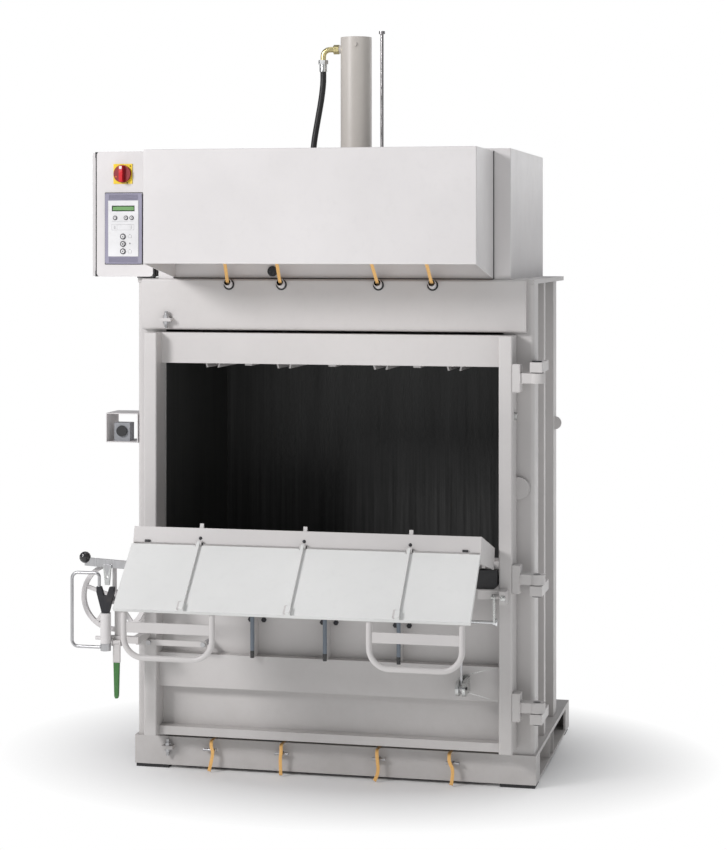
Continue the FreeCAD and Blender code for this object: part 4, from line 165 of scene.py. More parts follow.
def painted(name, rgb, rough, wear, dust):
    """Sprayed paint: orange peel, soft clouds, rubbed edges, fine scratches and dust low down."""
    t = Tree(name)
    clouds = t.noise(2.3, 5.0, 0.55)
    fine = t.noise(38.0, 6.0, 0.6)
    colour = t.mix(t.ramp(clouds, 0.35, 0.68), tint(rgb, 0.955), tint(rgb, 1.03))
    colour = t.mix(t.ramp(fine, 0.52, 0.75, 0.0, 0.25), colour, tint(rgb, 0.90))
    scratch = t.noise(1.0, 3.0, 0.7, t.stretched(26.0, 26.0, 900.0))
    across = t.noise(1.0, 3.0, 0.7, t.stretched(700.0, 30.0, 22.0))
    marks = t.math("MAXIMUM", t.ramp(scratch, 0.70, 0.74), t.ramp(across, 0.71, 0.75))
    marks = t.math("MULTIPLY", marks, t.ramp(t.noise(5.0, 2.0), 0.45, 0.6, 0.0, wear))
    colour = t.mix(marks, colour, tint(rgb, 0.72))
    low = t.ramp(t.coordinate("Z"), 0.55, 0.02, 0.0, dust)
    low = t.math("MULTIPLY", low, t.ramp(t.noise(9.0, 5.0, 0.65), 0.3, 0.7, 0.35, 1.0))
    colour = t.mix(low, colour, DUST)
    normal = t.rounded(PAINT_EDGE)
    facing = t.add("ShaderNodeVectorMath", operation="DOT_PRODUCT")
    t.put(facing.inputs[0], normal)
    t.put(facing.inputs[1], t.add("ShaderNodeNewGeometry").outputs["True Normal"])
    rub = t.ramp(facing.outputs["Value"], 0.985, 0.90, 0.0, 1.0)
    rub = t.math("MULTIPLY", rub, t.ramp(t.noise(70.0, 5.0, 0.7), 0.50, 0.64, 0.0, wear))
    colour = t.mix(rub, colour, tint(rgb, 0.50))
    shine = t.ramp(t.noise(14.0, 4.0), 0.3, 0.7, rough - 0.05, rough + 0.08)
    shine = t.math("ADD", shine, t.math("MULTIPLY", marks, 0.25))
    peel = t.math("ADD", t.noise(420.0, 2.0), t.math("MULTIPLY", t.noise(26.0, 3.0), 1.5))
    return t.set(Base_Color=colour, Roughness=shine, Specular_IOR_Level=0.45,
                 Normal=t.bump(peel, 0.25, 0.0004, normal))


def metal(name, rgb, rough, grain=(300.0, 300.0, 8.0), stain=(0.25, 0.2, 0.16), stains=0.25):
    """Bare or plated metal: drawn grain, clouds of oxide and uneven shine."""
    t = Tree(name)
    lines = t.noise(1.0, 4.0, 0.6, t.stretched(*grain))
    clouds = t.noise(16.0, 6.0, 0.6)
    colour = t.mix(t.ramp(lines, 0.3, 0.7), tint(rgb, 0.86), tint(rgb, 1.08))
    colour = t.mix(t.ramp(clouds, 0.55, 0.75, 0.0, stains), colour, stain)
    shine = t.math("ADD", t.ramp(clouds, 0.35, 0.7, rough - 0.06, rough + 0.12),
                   t.ramp(lines, 0.3, 0.7, -0.05, 0.07))
    return t.set(Base_Color=colour, Metallic=t.ramp(clouds, 0.6, 0.8, 1.0, 0.75), Roughness=shine,
                 Normal=t.bump(lines, 0.12, 0.0003, t.rounded(FINE_EDGE)))


def moulded(name, rgb, rough, grain=900.0, depth=0.08, coat=0.0, spots=0.15):
    """Moulded plastic or rubber: fine eroded grain, faint flow marks and handling marks."""
    t = Tree(name)
    flow = t.noise(7.0, 5.0, 0.6)
    hands = t.noise(45.0, 4.0, 0.6)
    colour = t.mix(t.ramp(flow, 0.35, 0.7), tint(rgb, 0.90), tint(rgb, 1.08))
    colour = t.mix(t.ramp(hands, 0.58, 0.75, 0.0, spots), colour, HAND_MARKS)
    shine = t.ramp(hands, 0.35, 0.7, rough - 0.05, rough + 0.12)
    return t.set(Base_Color=colour, Roughness=shine, Coat_Weight=coat,
                 Normal=t.bump(t.noise(grain, 2.0), depth, 0.0003, t.rounded(FINE_EDGE)))


def scuffed(name, rgb):
    """Chamber walls polished and scored by the bales, mostly up and down, with dust low down, on the
    near-black base colour that the chamber gets as painted shade.
    """
    t = Tree(name)
    score = t.noise(1.0, 5.0, 0.7, t.stretched(90.0, 90.0, 1.6))
    broad = t.noise(1.0, 4.0, 0.6, t.stretched(12.0, 12.0, 0.7))
    colour = t.mix(t.ramp(score, 0.35, 0.68), tint(rgb, 0.62), tint(rgb, 1.25))
    colour = t.mix(t.ramp(broad, 0.45, 0.7, 0.0, 0.55), colour, tint(rgb, 0.45))
    dust = t.math("MULTIPLY", t.ramp(t.coordinate("Z"), 0.6, 0.12, 0.0, 0.7),
                  t.ramp(t.noise(13.0, 5.0), 0.35, 0.65))
    colour = t.mix(dust, colour, CARDBOARD_DUST)
    return t.set(Base_Color=colour, Metallic=0.35, Roughness=t.ramp(score, 0.3, 0.7, 0.34, 0.6),
                 Normal=t.bump(score, 0.35, 0.0006))


def woven(name, rgb):
    """Corded polyester strap: lengthwise cords bound by a glue skin."""
    t = Tree(name)
    cords = t.wave(520.0, "X")
    binder = t.noise(160.0, 4.0, 0.6)
    colour = t.mix(t.ramp(cords, 0.15, 0.85), tint(rgb, 0.84), tint(rgb, 1.12))
    colour = t.mix(t.ramp(binder, 0.5, 0.75, 0.0, 0.35), colour, tint(rgb, 0.66))
    height = t.math("ADD", cords, t.math("MULTIPLY", binder, 0.5))
    return t.set(Base_Color=colour, Roughness=t.ramp(binder, 0.3, 0.7, 0.38, 0.6),
                 Sheen_Weight=0.3, Normal=t.bump(height, 0.5, 0.0004))


def wound(name, rgb):
    """The side and rim of a full reel: fine rings of strap edges about the reel's axle."""
    t = Tree(name)
    centre = t.add("ShaderNodeMapping")
    t.put(centre.inputs["Vector"], t.where)
    centre.inputs["Location"].default_value = (0.0, -REEL_AXLE_Y, -REEL_AXLE_Z)
    centre.inputs["Scale"].default_value = (0.0, 1.0, 1.0)
    away = t.add("ShaderNodeVectorMath", operation="LENGTH")
    t.put(away.inputs[0], centre.outputs["Vector"])
    turns = t.math("SINE", t.math("MULTIPLY", away.outputs["Value"], math.tau/REEL_RING))
    height = t.math("ADD", turns, t.math("MULTIPLY", t.noise(30.0, 4.0), 1.2))
    colour = t.mix(t.ramp(height, -0.8, 1.6), tint(rgb, 0.55), tint(rgb, 1.10))
    return t.set(Base_Color=colour, Roughness=0.55, Normal=t.bump(height, 0.6, 0.0006))


def screen_glass(name, lit_dark, lit_bright, surround_rgb):
    """A green display window in a dark surround."""
    t = Tree(name)
    up = t.math("ABSOLUTE", t.math("SUBTRACT", t.coordinate("Z"), WINDOW_Z))
    along = t.math("ABSOLUTE", t.math("SUBTRACT", t.coordinate("X"), WINDOW_X))
    surround = t.math("MAXIMUM", t.ramp(up, WINDOW_HALF_HEIGHT, WINDOW_HALF_HEIGHT + WINDOW_RIM),
                      t.ramp(along, WINDOW_HALF_WIDTH, WINDOW_HALF_WIDTH + WINDOW_RIM))
    colour = t.mix(t.ramp(t.noise(60.0, 3.0), 0.3, 0.7), lit_dark, lit_bright)
    colour = t.mix(surround, colour, surround_rgb)
    return t.set(Base_Color=colour, Roughness=t.ramp(t.noise(24.0), 0.3, 0.7, 0.20, 0.30), Coat_Weight=0.15,
                 Normal=t.bump(t.noise(500.0, 1.0), 0.03, 0.0002))


ALL_WAYS = (200.0, 200.0, 200.0)    # grain of a plated surface, the same along each axis
MATERIALS = {
    "frame": painted("frame_paint", (0.578, 0.560, 0.554), rough=0.40, wear=0.45, dust=0.35),
    "cover": painted("cover_paint", (0.675, 0.656, 0.656), rough=0.36, wear=0.18, dust=0.15),
    "leaf": painted("leaf_paint", (0.74, 0.745, 0.735), rough=0.38, wear=0.30, dust=0.1),
    # The chamber's near-black colour is painted shade for the inside of the enclosed chamber; its scoring and
    # low dust are the steel's own.
    "chamber": scuffed("chamber_steel_painted_shade", (0.070, 0.071, 0.070)),
    "bare": metal("bare_steel", (0.52, 0.52, 0.53), rough=0.34),
    "dark": metal("oiled_steel", (0.060, 0.060, 0.065), rough=0.42, stains=0.1),
    "bright": metal("drawn_bar", (0.70, 0.71, 0.72), rough=0.16, stains=0.08),
    "grey_steel": metal("ground_bar", (0.30, 0.29, 0.295), rough=0.24, grain=(300.0, 300.0, 40.0),
                        stains=0.1),
    "chrome": metal("hard_chrome", (0.78, 0.79, 0.80), rough=0.07, grain=(900.0, 900.0, 900.0), stains=0.05),
    "zinc": metal("yellow_zinc", (0.66, 0.58, 0.30), rough=0.28, grain=ALL_WAYS, stain=(0.45, 0.28, 0.22),
                  stains=0.4),
    "plated": metal("white_zinc", (0.62, 0.63, 0.62), rough=0.26, grain=ALL_WAYS, stain=(0.4, 0.42, 0.45),
                    stains=0.3),
    "cylinder": painted("cylinder_paint", (0.52, 0.49, 0.455), rough=0.36, wear=0.3, dust=0.0),
    "unit": painted("unit_paint", (0.10, 0.11, 0.13), rough=0.4, wear=0.3, dust=0.0),
    "rubber": moulded("rubber", (0.022, 0.022, 0.024), rough=0.55, grain=500.0, depth=0.25, spots=0.08),
    "hose": moulded("hose_rubber", (0.008, 0.008, 0.009), rough=0.46, grain=1400.0, depth=0.25, spots=0.05),
    "black": moulded("black_plastic", (0.020, 0.020, 0.022), rough=0.22, grain=1200.0, depth=0.04, coat=0.3,
                     spots=0.05),
    "blue_bar": painted("bar_paint", (0.17, 0.20, 0.24), rough=0.35, wear=0.4, dust=0.1),
    "strap": woven("strap_weave", (0.95, 0.53, 0.17)),
    "roll": wound("strap_roll", (0.78, 0.36, 0.10)),
    "spool": moulded("spool_plastic", (0.30, 0.31, 0.33), rough=0.45),
    "green": moulded("green_grip", (0.045, 0.165, 0.040), rough=0.42, grain=700.0, depth=0.2, spots=0.12),
    "yellow": moulded("yellow_plastic", (0.86, 0.62, 0.035), rough=0.25, coat=0.2),
    "red": moulded("red_plastic", (0.24, 0.004, 0.010), rough=0.42, spots=0.02),
    "violet": moulded("violet_plastic", (0.275, 0.265, 0.35), rough=0.42, grain=1100.0, depth=0.12),
    "film": moulded("keypad_film", (0.70, 0.70, 0.71), rough=0.38, grain=1600.0, depth=0.05),
    "display": screen_glass("display", (0.155, 0.32, 0.12), (0.19, 0.37, 0.145), (0.010, 0.022, 0.014)),
    "key": moulded("key_grey", (0.060, 0.060, 0.070), rough=0.40),
    "key_pale": moulded("key_pale", (0.70, 0.70, 0.70), rough=0.40),
    "pictogram": moulded("pictogram_grey", (0.24, 0.24, 0.25), rough=0.5),
    "orange": moulded("orange_mark", (0.80, 0.16, 0.02), rough=0.4),
    "ribbed": moulded("ribbed_plastic", (0.235, 0.225, 0.30), rough=0.45, grain=1100.0, depth=0.12),
    "red_bar": moulded("red_handle", (0.62, 0.020, 0.028), rough=0.22, coat=0.3),
    "print": moulded("print_white", (0.72, 0.72, 0.72), rough=0.5),
}


# ---------------------------------------------------------------- what a CAD node is made of

WELD_TOGETHER = 5           # decimals to which two corners have to agree to be one
FACING = 0.9                # a face looks along an axis when its normal has this much of it
CHAMBER_HALF = 0.6          # half the chamber's clear width
WALL_SLACK = 0.002
DOOR_BACK = -0.384          # what lies behind this plane of the door faces the chamber
KNOB_X, KNOB_BAR_HALF, KNOB_BASE_Y = -0.751, 0.0068, -0.4158
PLATEN_FACE_TOP = 1.43      # the platen's pressing face is below this at rest
FERRULE_TOP = 2.5132        # the elbow and the nut above the hose's ferrule are plated yellow
VALVE_RIGHT = -0.10         # of the power unit, only the valve block and its fitting lie left of this
TONGUE_TOP = 0.728          # the ball lever's tongue lies below this, and its ball and arm above
DISPLAY_FRONT, DISPLAY_BACK = -0.4092, -0.4082


def loose_parts(mesh):
    """The mesh's separate solids: a part number for each face, and each part's box."""
    keys, root = {}, []
    for vertex in mesh.vertices:
        key = tuple(round(c, WELD_TOGETHER) for c in vertex.co)
        root.append(keys.setdefault(key, len(keys)))
    parent = list(range(len(keys)))

    def find(i):
        while parent[i] != i:
            parent[i] = parent[parent[i]]
            i = parent[i]
        return i

    for polygon in mesh.polygons:
        first = find(root[polygon.vertices[0]])
        for index in polygon.vertices[1:]:
            parent[find(root[index])] = first
    labels = [find(root[polygon.vertices[0]]) for polygon in mesh.polygons]
    boxes = {}
    for polygon, label in zip(mesh.polygons, labels):
        for index in polygon.vertices:
            corner = mesh.vertices[index].co
            low, high = boxes.setdefault(label, (corner.copy(), corner.copy()))
            for axis in (X, Y, Z):
                low[axis] = min(low[axis], corner[axis])
                high[axis] = max(high[axis], corner[axis])
    return labels, boxes


def finish_node(name, plain, *rules):
    """Gives a CAD node its material, and other materials to the solids or faces that a rule picks.

    A rule is a material and a test, which gets the solid's box as two corners, and the face.
    """
    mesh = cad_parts[name].data
    mesh.materials.clear()
    for key in (plain, *(key for key, _ in rules)):
        mesh.materials.append(MATERIALS[key])
    for polygon in mesh.polygons:
        polygon.material_index = 0
    if not rules:
        return
    labels, boxes = loose_parts(mesh)
    for polygon, label in zip(mesh.polygons, labels):
        for number, (_, chosen) in enumerate(rules, 1):
            if chosen(*boxes[label], polygon):
                polygon.material_index = number
                break


def under(axis, limit):
    """Picks the solids that measure less than limit along an axis."""
    return lambda lo, hi, p: hi[axis] - lo[axis] < limit


def over(axis, limit):
    """Picks the solids that measure more than limit along an axis."""
    return lambda lo, hi, p: hi[axis] - lo[axis] > limit


def near(axis, length, slack=0.002):
    """Picks the solids that measure about length along an axis."""
    return lambda lo, hi, p: abs((hi[axis] - lo[axis]) - length) < slack


def inside_chamber(lo, hi, p):
    """The faces of the side walls and the rear wall that look into the chamber."""
    c, n = p.center, p.normal
    if not (-0.380 < c.y < 0.390 and 0.11 < c.z < 1.71):
        return False
    looks_in = abs(n.x) > FACING or n.y < -FACING
    return abs(c.x) < CHAMBER_HALF + 0.003 and looks_in and (
        abs(abs(c.x) - CHAMBER_HALF) < WALL_SLACK or c.y > 0.37)


def looks_down(lo, hi, p):
    return p.normal.z < -FACING


def looks_back(lo, hi, p):
    return p.normal.y > FACING


def behind_door(lo, hi, p):
    return p.center.y > DOOR_BACK


def tube_bore(lo, hi, p):
    """The faces that look towards the middle of their own solid."""
    return ((lo + hi)/2 - p.center).dot(p.normal) > 0.005


def clevis(lo, hi, p):
    return 0.45 < p.center.x < 0.515 and p.center.y < -0.42 and 0.30 < p.center.z < 0.42


def rib_cap(lo, hi, p):
    return near(Z, 0.025)(lo, hi, p) and under(X, 0.016)(lo, hi, p)


def flap_pin_or_stile_bolt(lo, hi, p):
    return over(X, 0.07)(lo, hi, p) or abs(lo.x) > 0.64


def bail_end(lo, hi, p):
    return abs(p.center.x) > 0.5895 and p.center.z > 0.595


def knob_bar(lo, hi, p):
    return abs(p.center.x - KNOB_X) < KNOB_BAR_HALF and p.center.y < KNOB_BASE_Y


NODES_OF_ONE_MATERIAL = {
    # The grab handles take the darker frame paint as painted shade.
    "frame": ("base_frame", "hinge_lugs", "grab_handles", "lock_bracket", "green_lever"),
    "cover": ("upper_housing", "strap_hood", "lock_tube", "cabinet_lid", "cabinet_body"),
    "leaf": ("flap_upper",),
    "chamber": ("bale_floor",),
    "bare": ("reel_axle", "pull_rod", "strap_cleats"),
    "dark": ("hinge_pins",),
    "grey_steel": ("indicator_rod",),
    "chrome": ("piston_rod",),
    "cylinder": ("press_cylinder",),
    "rubber": ("foot_pads", "cabinet_seal"),
    "hose": ("oil_hose",),
    "black": ("housing_grommets", "push_button"),
    "blue_bar": ("rib_bars",),
    "strap": ("straps", "strap_ends"),
    "green": ("lever_grip",),
    "yellow": ("switch_plate",),
    "violet": ("keypad_panel",),
    "key": ("key_left", "key_centre", "key_right", "key_up", "key_stop", "key_down"),
}
for material, names in NODES_OF_ONE_MATERIAL.items():
    for name in names:
        finish_node(name, material)

# Faces inside the chamber, under the top plate and at the header's back take the near-black chamber material:
# painted shade.
finish_node("press_frame", "frame", ("chamber", inside_chamber))
finish_node("top_plate", "frame", ("chamber", looks_down))
finish_node("header_beam", "frame", ("chamber", looks_back))
# The tubes' bores take black plastic as painted shade inside the tubes.
finish_node("strap_tubes", "cover", ("rubber", under(Y, 0.006)), ("black", tube_bore))
finish_node("power_unit", "unit", ("bare", lambda lo, hi, p: hi.x < VALVE_RIGHT))
for number in range(1, 5):
    finish_node(f"strap_reel_{number}", "spool", ("roll", over(Z, 0.2)))
finish_node("port_fitting", "plated", ("zinc", lambda lo, hi, p: p.center.z > FERRULE_TOP))
# The platen's pressing face and the door's inner faces also take the chamber's painted shade.
finish_node("press_platen", "frame",
            ("chamber", lambda lo, hi, p: looks_down(lo, hi, p) and p.center.z < PLATEN_FACE_TOP))
finish_node("door_frame", "frame",
            ("chamber", lambda lo, hi, p: looks_back(lo, hi, p) and behind_door(lo, hi, p)),
            ("plated", clevis))
finish_node("door_skin", "frame", ("chamber", behind_door))
finish_node("door_fasteners", "dark", ("black", rib_cap), ("plated", flap_pin_or_stile_bolt))
finish_node("flap_lower", "frame", ("dark", under(X, 0.2)))
finish_node("latch_bail", "bright", ("plated", bail_end))
finish_node("lock_handle", "bare", ("dark", near(Y, 0.016)))
finish_node("clamp_wheel", "cover", ("bare", over(Y, 0.15)))
finish_node("ball_lever", "bare", ("black", under(X, 0.06)),
            ("plated", lambda lo, hi, p: p.center.z < TONGUE_TOP))
finish_node("lock_links", "bare", ("frame", over(X, 0.2)))
finish_node("switch_knob", "red", ("red_bar", knob_bar))
finish_node("keypad_film", "film",
            ("display", lambda lo, hi, p: DISPLAY_FRONT < p.center.y < DISPLAY_BACK))
finish_node("button_guard", "cover", ("spool", under(X, 0.06)))
finish_node("door_stops", "bare", ("frame", over(X, 0.035)))


# ---------------------------------------------------------------- modelling helpers

RIPPLE_STEP = 0.0028        # a weld's length per ring
ROUTE_STEP = 0.0015         # distance between two points of a strap's line
STRAP_WIDTH, STRAP_THICK = 0.012, 0.0012
# Half of the corded section of a strap, as shares of its width and thickness.
STRAP_SECTION = [(-0.5, -0.28), (-0.46, -0.5), (-0.2, -0.42), (0.0, -0.5), (0.2, -0.42), (0.46, -0.5),
                 (0.5, -0.28)]


def new_piece(name, bm, material, body, smooth=True):
    mesh = bpy.data.meshes.new(name)
    bmesh.ops.recalc_face_normals(bm, faces=bm.faces)
    bm.to_mesh(mesh)
    bm.free()
    piece = bpy.data.objects.new(name, mesh)
    bpy.context.scene.collection.objects.link(piece)
    mesh.materials.append(MATERIALS[material])
    if smooth:
        for polygon in mesh.polygons:
            polygon.use_smooth = True
    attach(piece, body)
    return piece


def place_along(origin, direction):
    """A matrix that puts an upright form at origin, with its Z along a direction."""
    return Matrix.Translation(origin) @ direction.normalized().to_track_quat("Z", "Y").to_matrix().to_4x4()


def circle(sides):
    """The cosine and sine of each corner of a regular shape."""
    return [(math.cos(math.tau*i/sides), math.sin(math.tau*i/sides)) for i in range(sides)]


def skin(bm, rings, closed=True):
    """Joins a row of rings, and closes both ends."""
    for first, second in zip(rings, rings[1:]):
        count = len(first)
        for i in range(count):
            bm.faces.new((first[i], first[(i + 1) % count], second[(i + 1) % count], second[i]))
    if closed:
        bm.faces.new(rings[0])
        bm.faces.new(rings[-1])


def weld(bm, start, end, outward, radius, seed):
    """A fillet bead from start to end with its overlapping ripples."""
    chance = random.Random(seed)
    length = (end - start).length
    steps = max(6, int(length/RIPPLE_STEP))
    direction, out = (end - start).normalized(), outward.normalized()
    side = direction.cross(out).normalized()
    rings = []
    for i in range(steps + 1):
        ripple = 0.80 + 0.22*((i % 3)/2.0) + chance.uniform(-0.07, 0.07)
        if i in (0, steps):
            ripple = 0.25
        centre = start + direction*(length*i/steps) + side*chance.uniform(-0.0004, 0.0004)
        rings.append([bm.verts.new(centre + side*(radius*ripple*across) + out*(radius*ripple*0.8*up))
                      for across, up in circle(8)])
    skin(bm, rings)


def lathe(bm, origin, direction, profile, sides):
    """Turns a profile of (radius, height) about a direction and closes both ends."""
    turn = place_along(origin, direction)
    skin(bm, [[bm.verts.new(turn @ Vector((radius*across, radius*up, height)))
               for across, up in circle(sides)] for radius, height in profile])


def hex_head(bm, origin, direction, size):
    """A chamfered hexagon head on its washer."""
    lathe(bm, origin, direction, [(size*1.15, 0.0), (size*1.15, size*0.12), (size*1.08, size*0.16)], 28)
    base = size*0.16
    lathe(bm, origin, direction, [(size, base), (size, base + size*0.50), (size*0.93, base + size*0.58),
                                  (size*0.80, base + size*0.62)], 6)


def thread(bm, start, end, radius, pitch, depth, sides=20):
    """A screw thread wound about a bar that is already there."""
    turn = place_along(start, end - start)
    length = (end - start).length
    steps = int(length/pitch*sides)
    root, flank = radius - 0.0002, Vector((0, 0, pitch*0.38))
    rings = []
    for i in range(steps):
        angle, height = math.tau*i/sides, length*i/steps
        fade = min(1.0, i/sides, (steps - i)/sides)
        across, up = Vector((math.cos(angle), math.sin(angle), 0.0)), Vector((0, 0, height))
        crest = across*(radius + depth*fade) + up
        rings.append([bm.verts.new(turn @ point) for point in
                      (across*root + up - flank, crest, across*root + up + flank)])
    skin(bm, rings, closed=False)


def smooth_route(points):
    """Evenly spaced points along a NURBS line with these control points."""
    curve = bpy.data.curves.new("route", "CURVE")
    curve.dimensions = "3D"
    curve.resolution_u = 24
    spline = curve.splines.new("NURBS")
    spline.points.add(len(points) - 1)
    for point, target in zip(spline.points, points):
        point.co = (*target, 1.0)
    spline.order_u = 3
    spline.use_endpoint_u = True
    holder = bpy.data.objects.new("route", curve)
    mesh = bpy.data.meshes.new_from_object(holder)
    line = [v.co.copy() for v in mesh.vertices]
    bpy.data.objects.remove(holder)
    bpy.data.curves.remove(curve)
    bpy.data.meshes.remove(mesh)
    even, travelled = [line[0]], 0.0
    for a, b in zip(line, line[1:]):
        travelled += (b - a).length
        if travelled >= ROUTE_STEP:
            even.append(b)
            travelled = 0.0
    if (even[-1] - line[-1]).length > 1e-6:
        even.append(line[-1])
    return even


def band(bm, line):
    """A corded flat strap along a line, with its width as near to X as the line lets it."""
    flat = Vector((1, 0, 0))
    section = STRAP_SECTION + [(a, -b) for a, b in reversed(STRAP_SECTION)]
    rings = []
    for i, point in enumerate(line):
        ahead = (line[min(i + 1, len(line) - 1)] - line[max(i - 1, 0)]).normalized()
        across = (flat - ahead*flat.dot(ahead)).normalized()
        normal = ahead.cross(across).normalized()
        rings.append([bm.verts.new(point + across*(a*STRAP_WIDTH) + normal*(b*STRAP_THICK))
                      for a, b in section])
    skin(bm, rings)


def bar(bm, start, end, width, depth, out=TO_OPERATOR):
    """A straight strip with chamfered edges; its depth lies along out."""
    across = (end - start).normalized().cross(out).normalized()
    edge = min(width, depth)*0.25
    a, b = width/2, depth/2
    shape = [(-a, -b + edge), (-a + edge, -b), (a - edge, -b), (a, -b + edge),
             (a, b - edge), (a - edge, b), (-a + edge, b), (-a, b - edge)]
    skin(bm, [[bm.verts.new(point + across*u + out*v) for u, v in shape] for point in (start, end)])


def strip(bm, y, start, end, width, depth):
    """A bar between two (x, z) points of the upright plane at y."""
    bar(bm, Vector((start[0], y, start[1])), Vector((end[0], y, end[1])), width, depth)


def tablet(bm, outline, front, thick):
    """A small flat shape standing on a wall that faces the operator; outline gives (x, z)."""
    skin(bm, [[bm.verts.new(Vector((x, y, z))) for x, z in outline] for y in (front, front + thick)])


def rectangle(x0, z0, x1, z1):
    return [(x0, z0), (x1, z0), (x1, z1), (x0, z1)]


# ---------------------------------------------------------------- straps

CLEAT_LENGTH, DECK_TOP = 0.048, 0.112       # the sizes that a tail's points are shares of
TAIL_FRONT, TAIL_TOP = -0.4192, 0.11265     # where a tail turns down over the base's front


def straps():
    """The four straps run off their reels, through the tubes and down behind the beam."""
    through = [(-0.4267, 1.7095), (-0.4173, 1.7061), (-0.3584, 1.6847), (-0.3482, 1.6810), (-0.3461, 1.6704),
               (-0.3362, 1.6210)]
    pulled = [(-0.6340, 1.8617), (-0.4900, 1.7560), (-0.4347, 1.7154)]
    routes = {-0.361: [(-0.6125, 1.8488), (-0.4766, 1.7843), (-0.4569, 1.7750), (-0.4478, 1.7552),
                       (-0.4309, 1.7186)],
              -0.172: [(-0.6157, 1.8504), (-0.4865, 1.7850), (-0.4671, 1.7750), (-0.4550, 1.7555),
                       (-0.4313, 1.7180)],
              0.172: pulled,
              0.361: pulled}
    bm = bmesh.new()
    for x, from_reel in routes.items():
        band(bm, smooth_route([Vector((x, y, z)) for y, z in from_reel + through]))
    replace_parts(new_piece("strap_bands", bm, "strap", "frame"), "straps")


def strap_tails():
    """The straps' free ends lie in the floor's slots and hang over the cleats."""
    # Each hanging point's drift along the cleat and its height, as shares of the cleat and the deck.
    drifts = {-0.430: ((0.17, 0.77), (0.35, 0.62), (0.0, 0.05)),
              -0.172: ((0.04, 0.75), (-0.04, 0.54), (0.02, 0.05)),
              0.172: ((-0.06, 0.78), (0.08, 0.27), (-0.25, 0.05)),
              0.430: ((-0.21, 0.73), (0.13, 0.51), (-0.06, 0.05))}
    bm = bmesh.new()
    for x, drift in drifts.items():
        hanging = [Vector((x + aside*CLEAT_LENGTH, TAIL_FRONT, up*DECK_TOP)) for aside, up in drift]
        lying = [Vector((hanging[0].x, TAIL_FRONT + back, TAIL_TOP)) for back in (0.110, 0.020, 0.0)]
        band(bm, smooth_route(lying + hanging))
    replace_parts(new_piece("strap_tails", bm, "strap", "frame"), "strap_ends")


# ---------------------------------------------------------------- control cabinet

FILM, PANEL, LID = -0.4095, -0.4082, -0.402     # where the fronts of these lie in Y
KEY_FRONT, KNOB_FRONT, KNOB_RIM, SWITCH_PLATE = -0.412, -0.4316, -0.4160, -0.4052
PRINT_LINE, PRINT_DEPTH = 0.0005, 0.0003


def keypad_print():
    """The film's printed lines, bars, dot and arrows."""
    left, right, low, high = -0.7907, -0.7085, 1.8922, 1.9113
    bm = bmesh.new()
    for z in (1.9230, low, high):
        strip(bm, FILM, (left, z), (right, z), PRINT_LINE, PRINT_DEPTH)
    for x in (left, -0.7708, -0.7220, right):
        strip(bm, FILM, (x, low), (x, high), PRINT_LINE, PRINT_DEPTH)
    for row in range(3):
        z = 1.8978 + row*0.0040
        strip(bm, FILM, (-0.7830, z), (-0.7762, z), 0.0014, PRINT_DEPTH)
    strip(bm, FILM, (-0.7170, 1.8955), (-0.7170, 1.9080), 0.0012, PRINT_DEPTH)
    x = -0.7235
    for z, tip in ((1.871, 0.0030), (1.845, None), (1.8175, -0.0030)):
        if tip is None:
            lathe(bm, Vector((x, FILM + 0.0001, z)), TO_OPERATOR,
                  [(0.0030, 0.0), (0.0030, 0.0002), (0.0016, 0.0003)], 14)
            continue
        x0, x1, bottom, top = x - 0.006, x + 0.006, z - 0.0065, z + 0.003
        corner, other = (x0, bottom), (x1, bottom)
        for start, end in ((corner, other), (corner, (x0, top)), (other, (x1, top))):
            strip(bm, FILM, start, end, 0.0008, PRINT_DEPTH)
        middle = z + 0.0055
        arrow = [(x - 0.0026, middle - tip/2), (x + 0.0026, middle - tip/2), (x, middle + tip/2)]
        tablet(bm, arrow, FILM - 0.0002, PRINT_DEPTH)
    new_piece("keypad_print", bm, "pictogram", "frame", smooth=False)


def keypad_border():
    """The ribs above and below the film, and the seal round the panel."""
    bm = bmesh.new()
    for low, high in ((1.7775, 1.7960), (1.9990, 2.0170)):
        for i in range(46):
            x = -0.8010 + i*0.00236
            strip(bm, PANEL, (x, low), (x, high), 0.0013, 0.0008)
    new_piece("keypad_ribs", bm, "ribbed", "frame", smooth=False)

    bm = bmesh.new()
    corners = rectangle(-0.8175, 1.7715, -0.6785, 2.0235)
    for start, end in zip(corners, corners[1:] + corners[:1]):
        strip(bm, LID - 0.0006, start, end, 0.0022, 0.0012)
    new_piece("keypad_gasket", bm, "rubber", "frame", smooth=False)


def key_faces():
    """A pale disc and a dark symbol on each key."""
    small, large, row, column = 0.0075, 0.010, 1.935, -0.749
    keys = {"left": (-0.778, row, small), "centre": (-0.738, row, small), "right": (-0.717, row, small),
            "up": (column, 1.869, large), "stop": (column, 1.843, large), "down": (column, 1.817, large)}
    for name, (x, z, radius) in keys.items():
        bm = bmesh.new()
        lathe(bm, Vector((x, KEY_FRONT, z)), TO_OPERATOR,
              [(radius*0.66, -0.0001), (radius*0.66, 0.00025), (radius*0.58, 0.0004)], 26)
        new_piece(f"key_disc_{name}", bm, "key_pale", f"key_{name}")
        s = radius*0.34
        symbols = {"left": rectangle(-s, -s*0.35, s, s*0.35), "centre": [(-s, s*0.7), (0.0, -s), (s, s*0.7)],
                   "right": [(-s, 0.0), (0.0, -s), (s, 0.0), (0.0, s)],
                   "up": [(-s, -s*0.7), (s, -s*0.7), (0.0, s)], "down": [(-s, s*0.7), (0.0, -s), (s, s*0.7)],
                   "stop": rectangle(-s*0.8, -s*0.8, s*0.8, s*0.8)}
        bm = bmesh.new()
        tablet(bm, [(x + a, z + b) for a, b in symbols[name]], KEY_FRONT - 0.0006, PRINT_DEPTH)
        new_piece(f"key_mark_{name}", bm, "key", f"key_{name}", smooth=False)


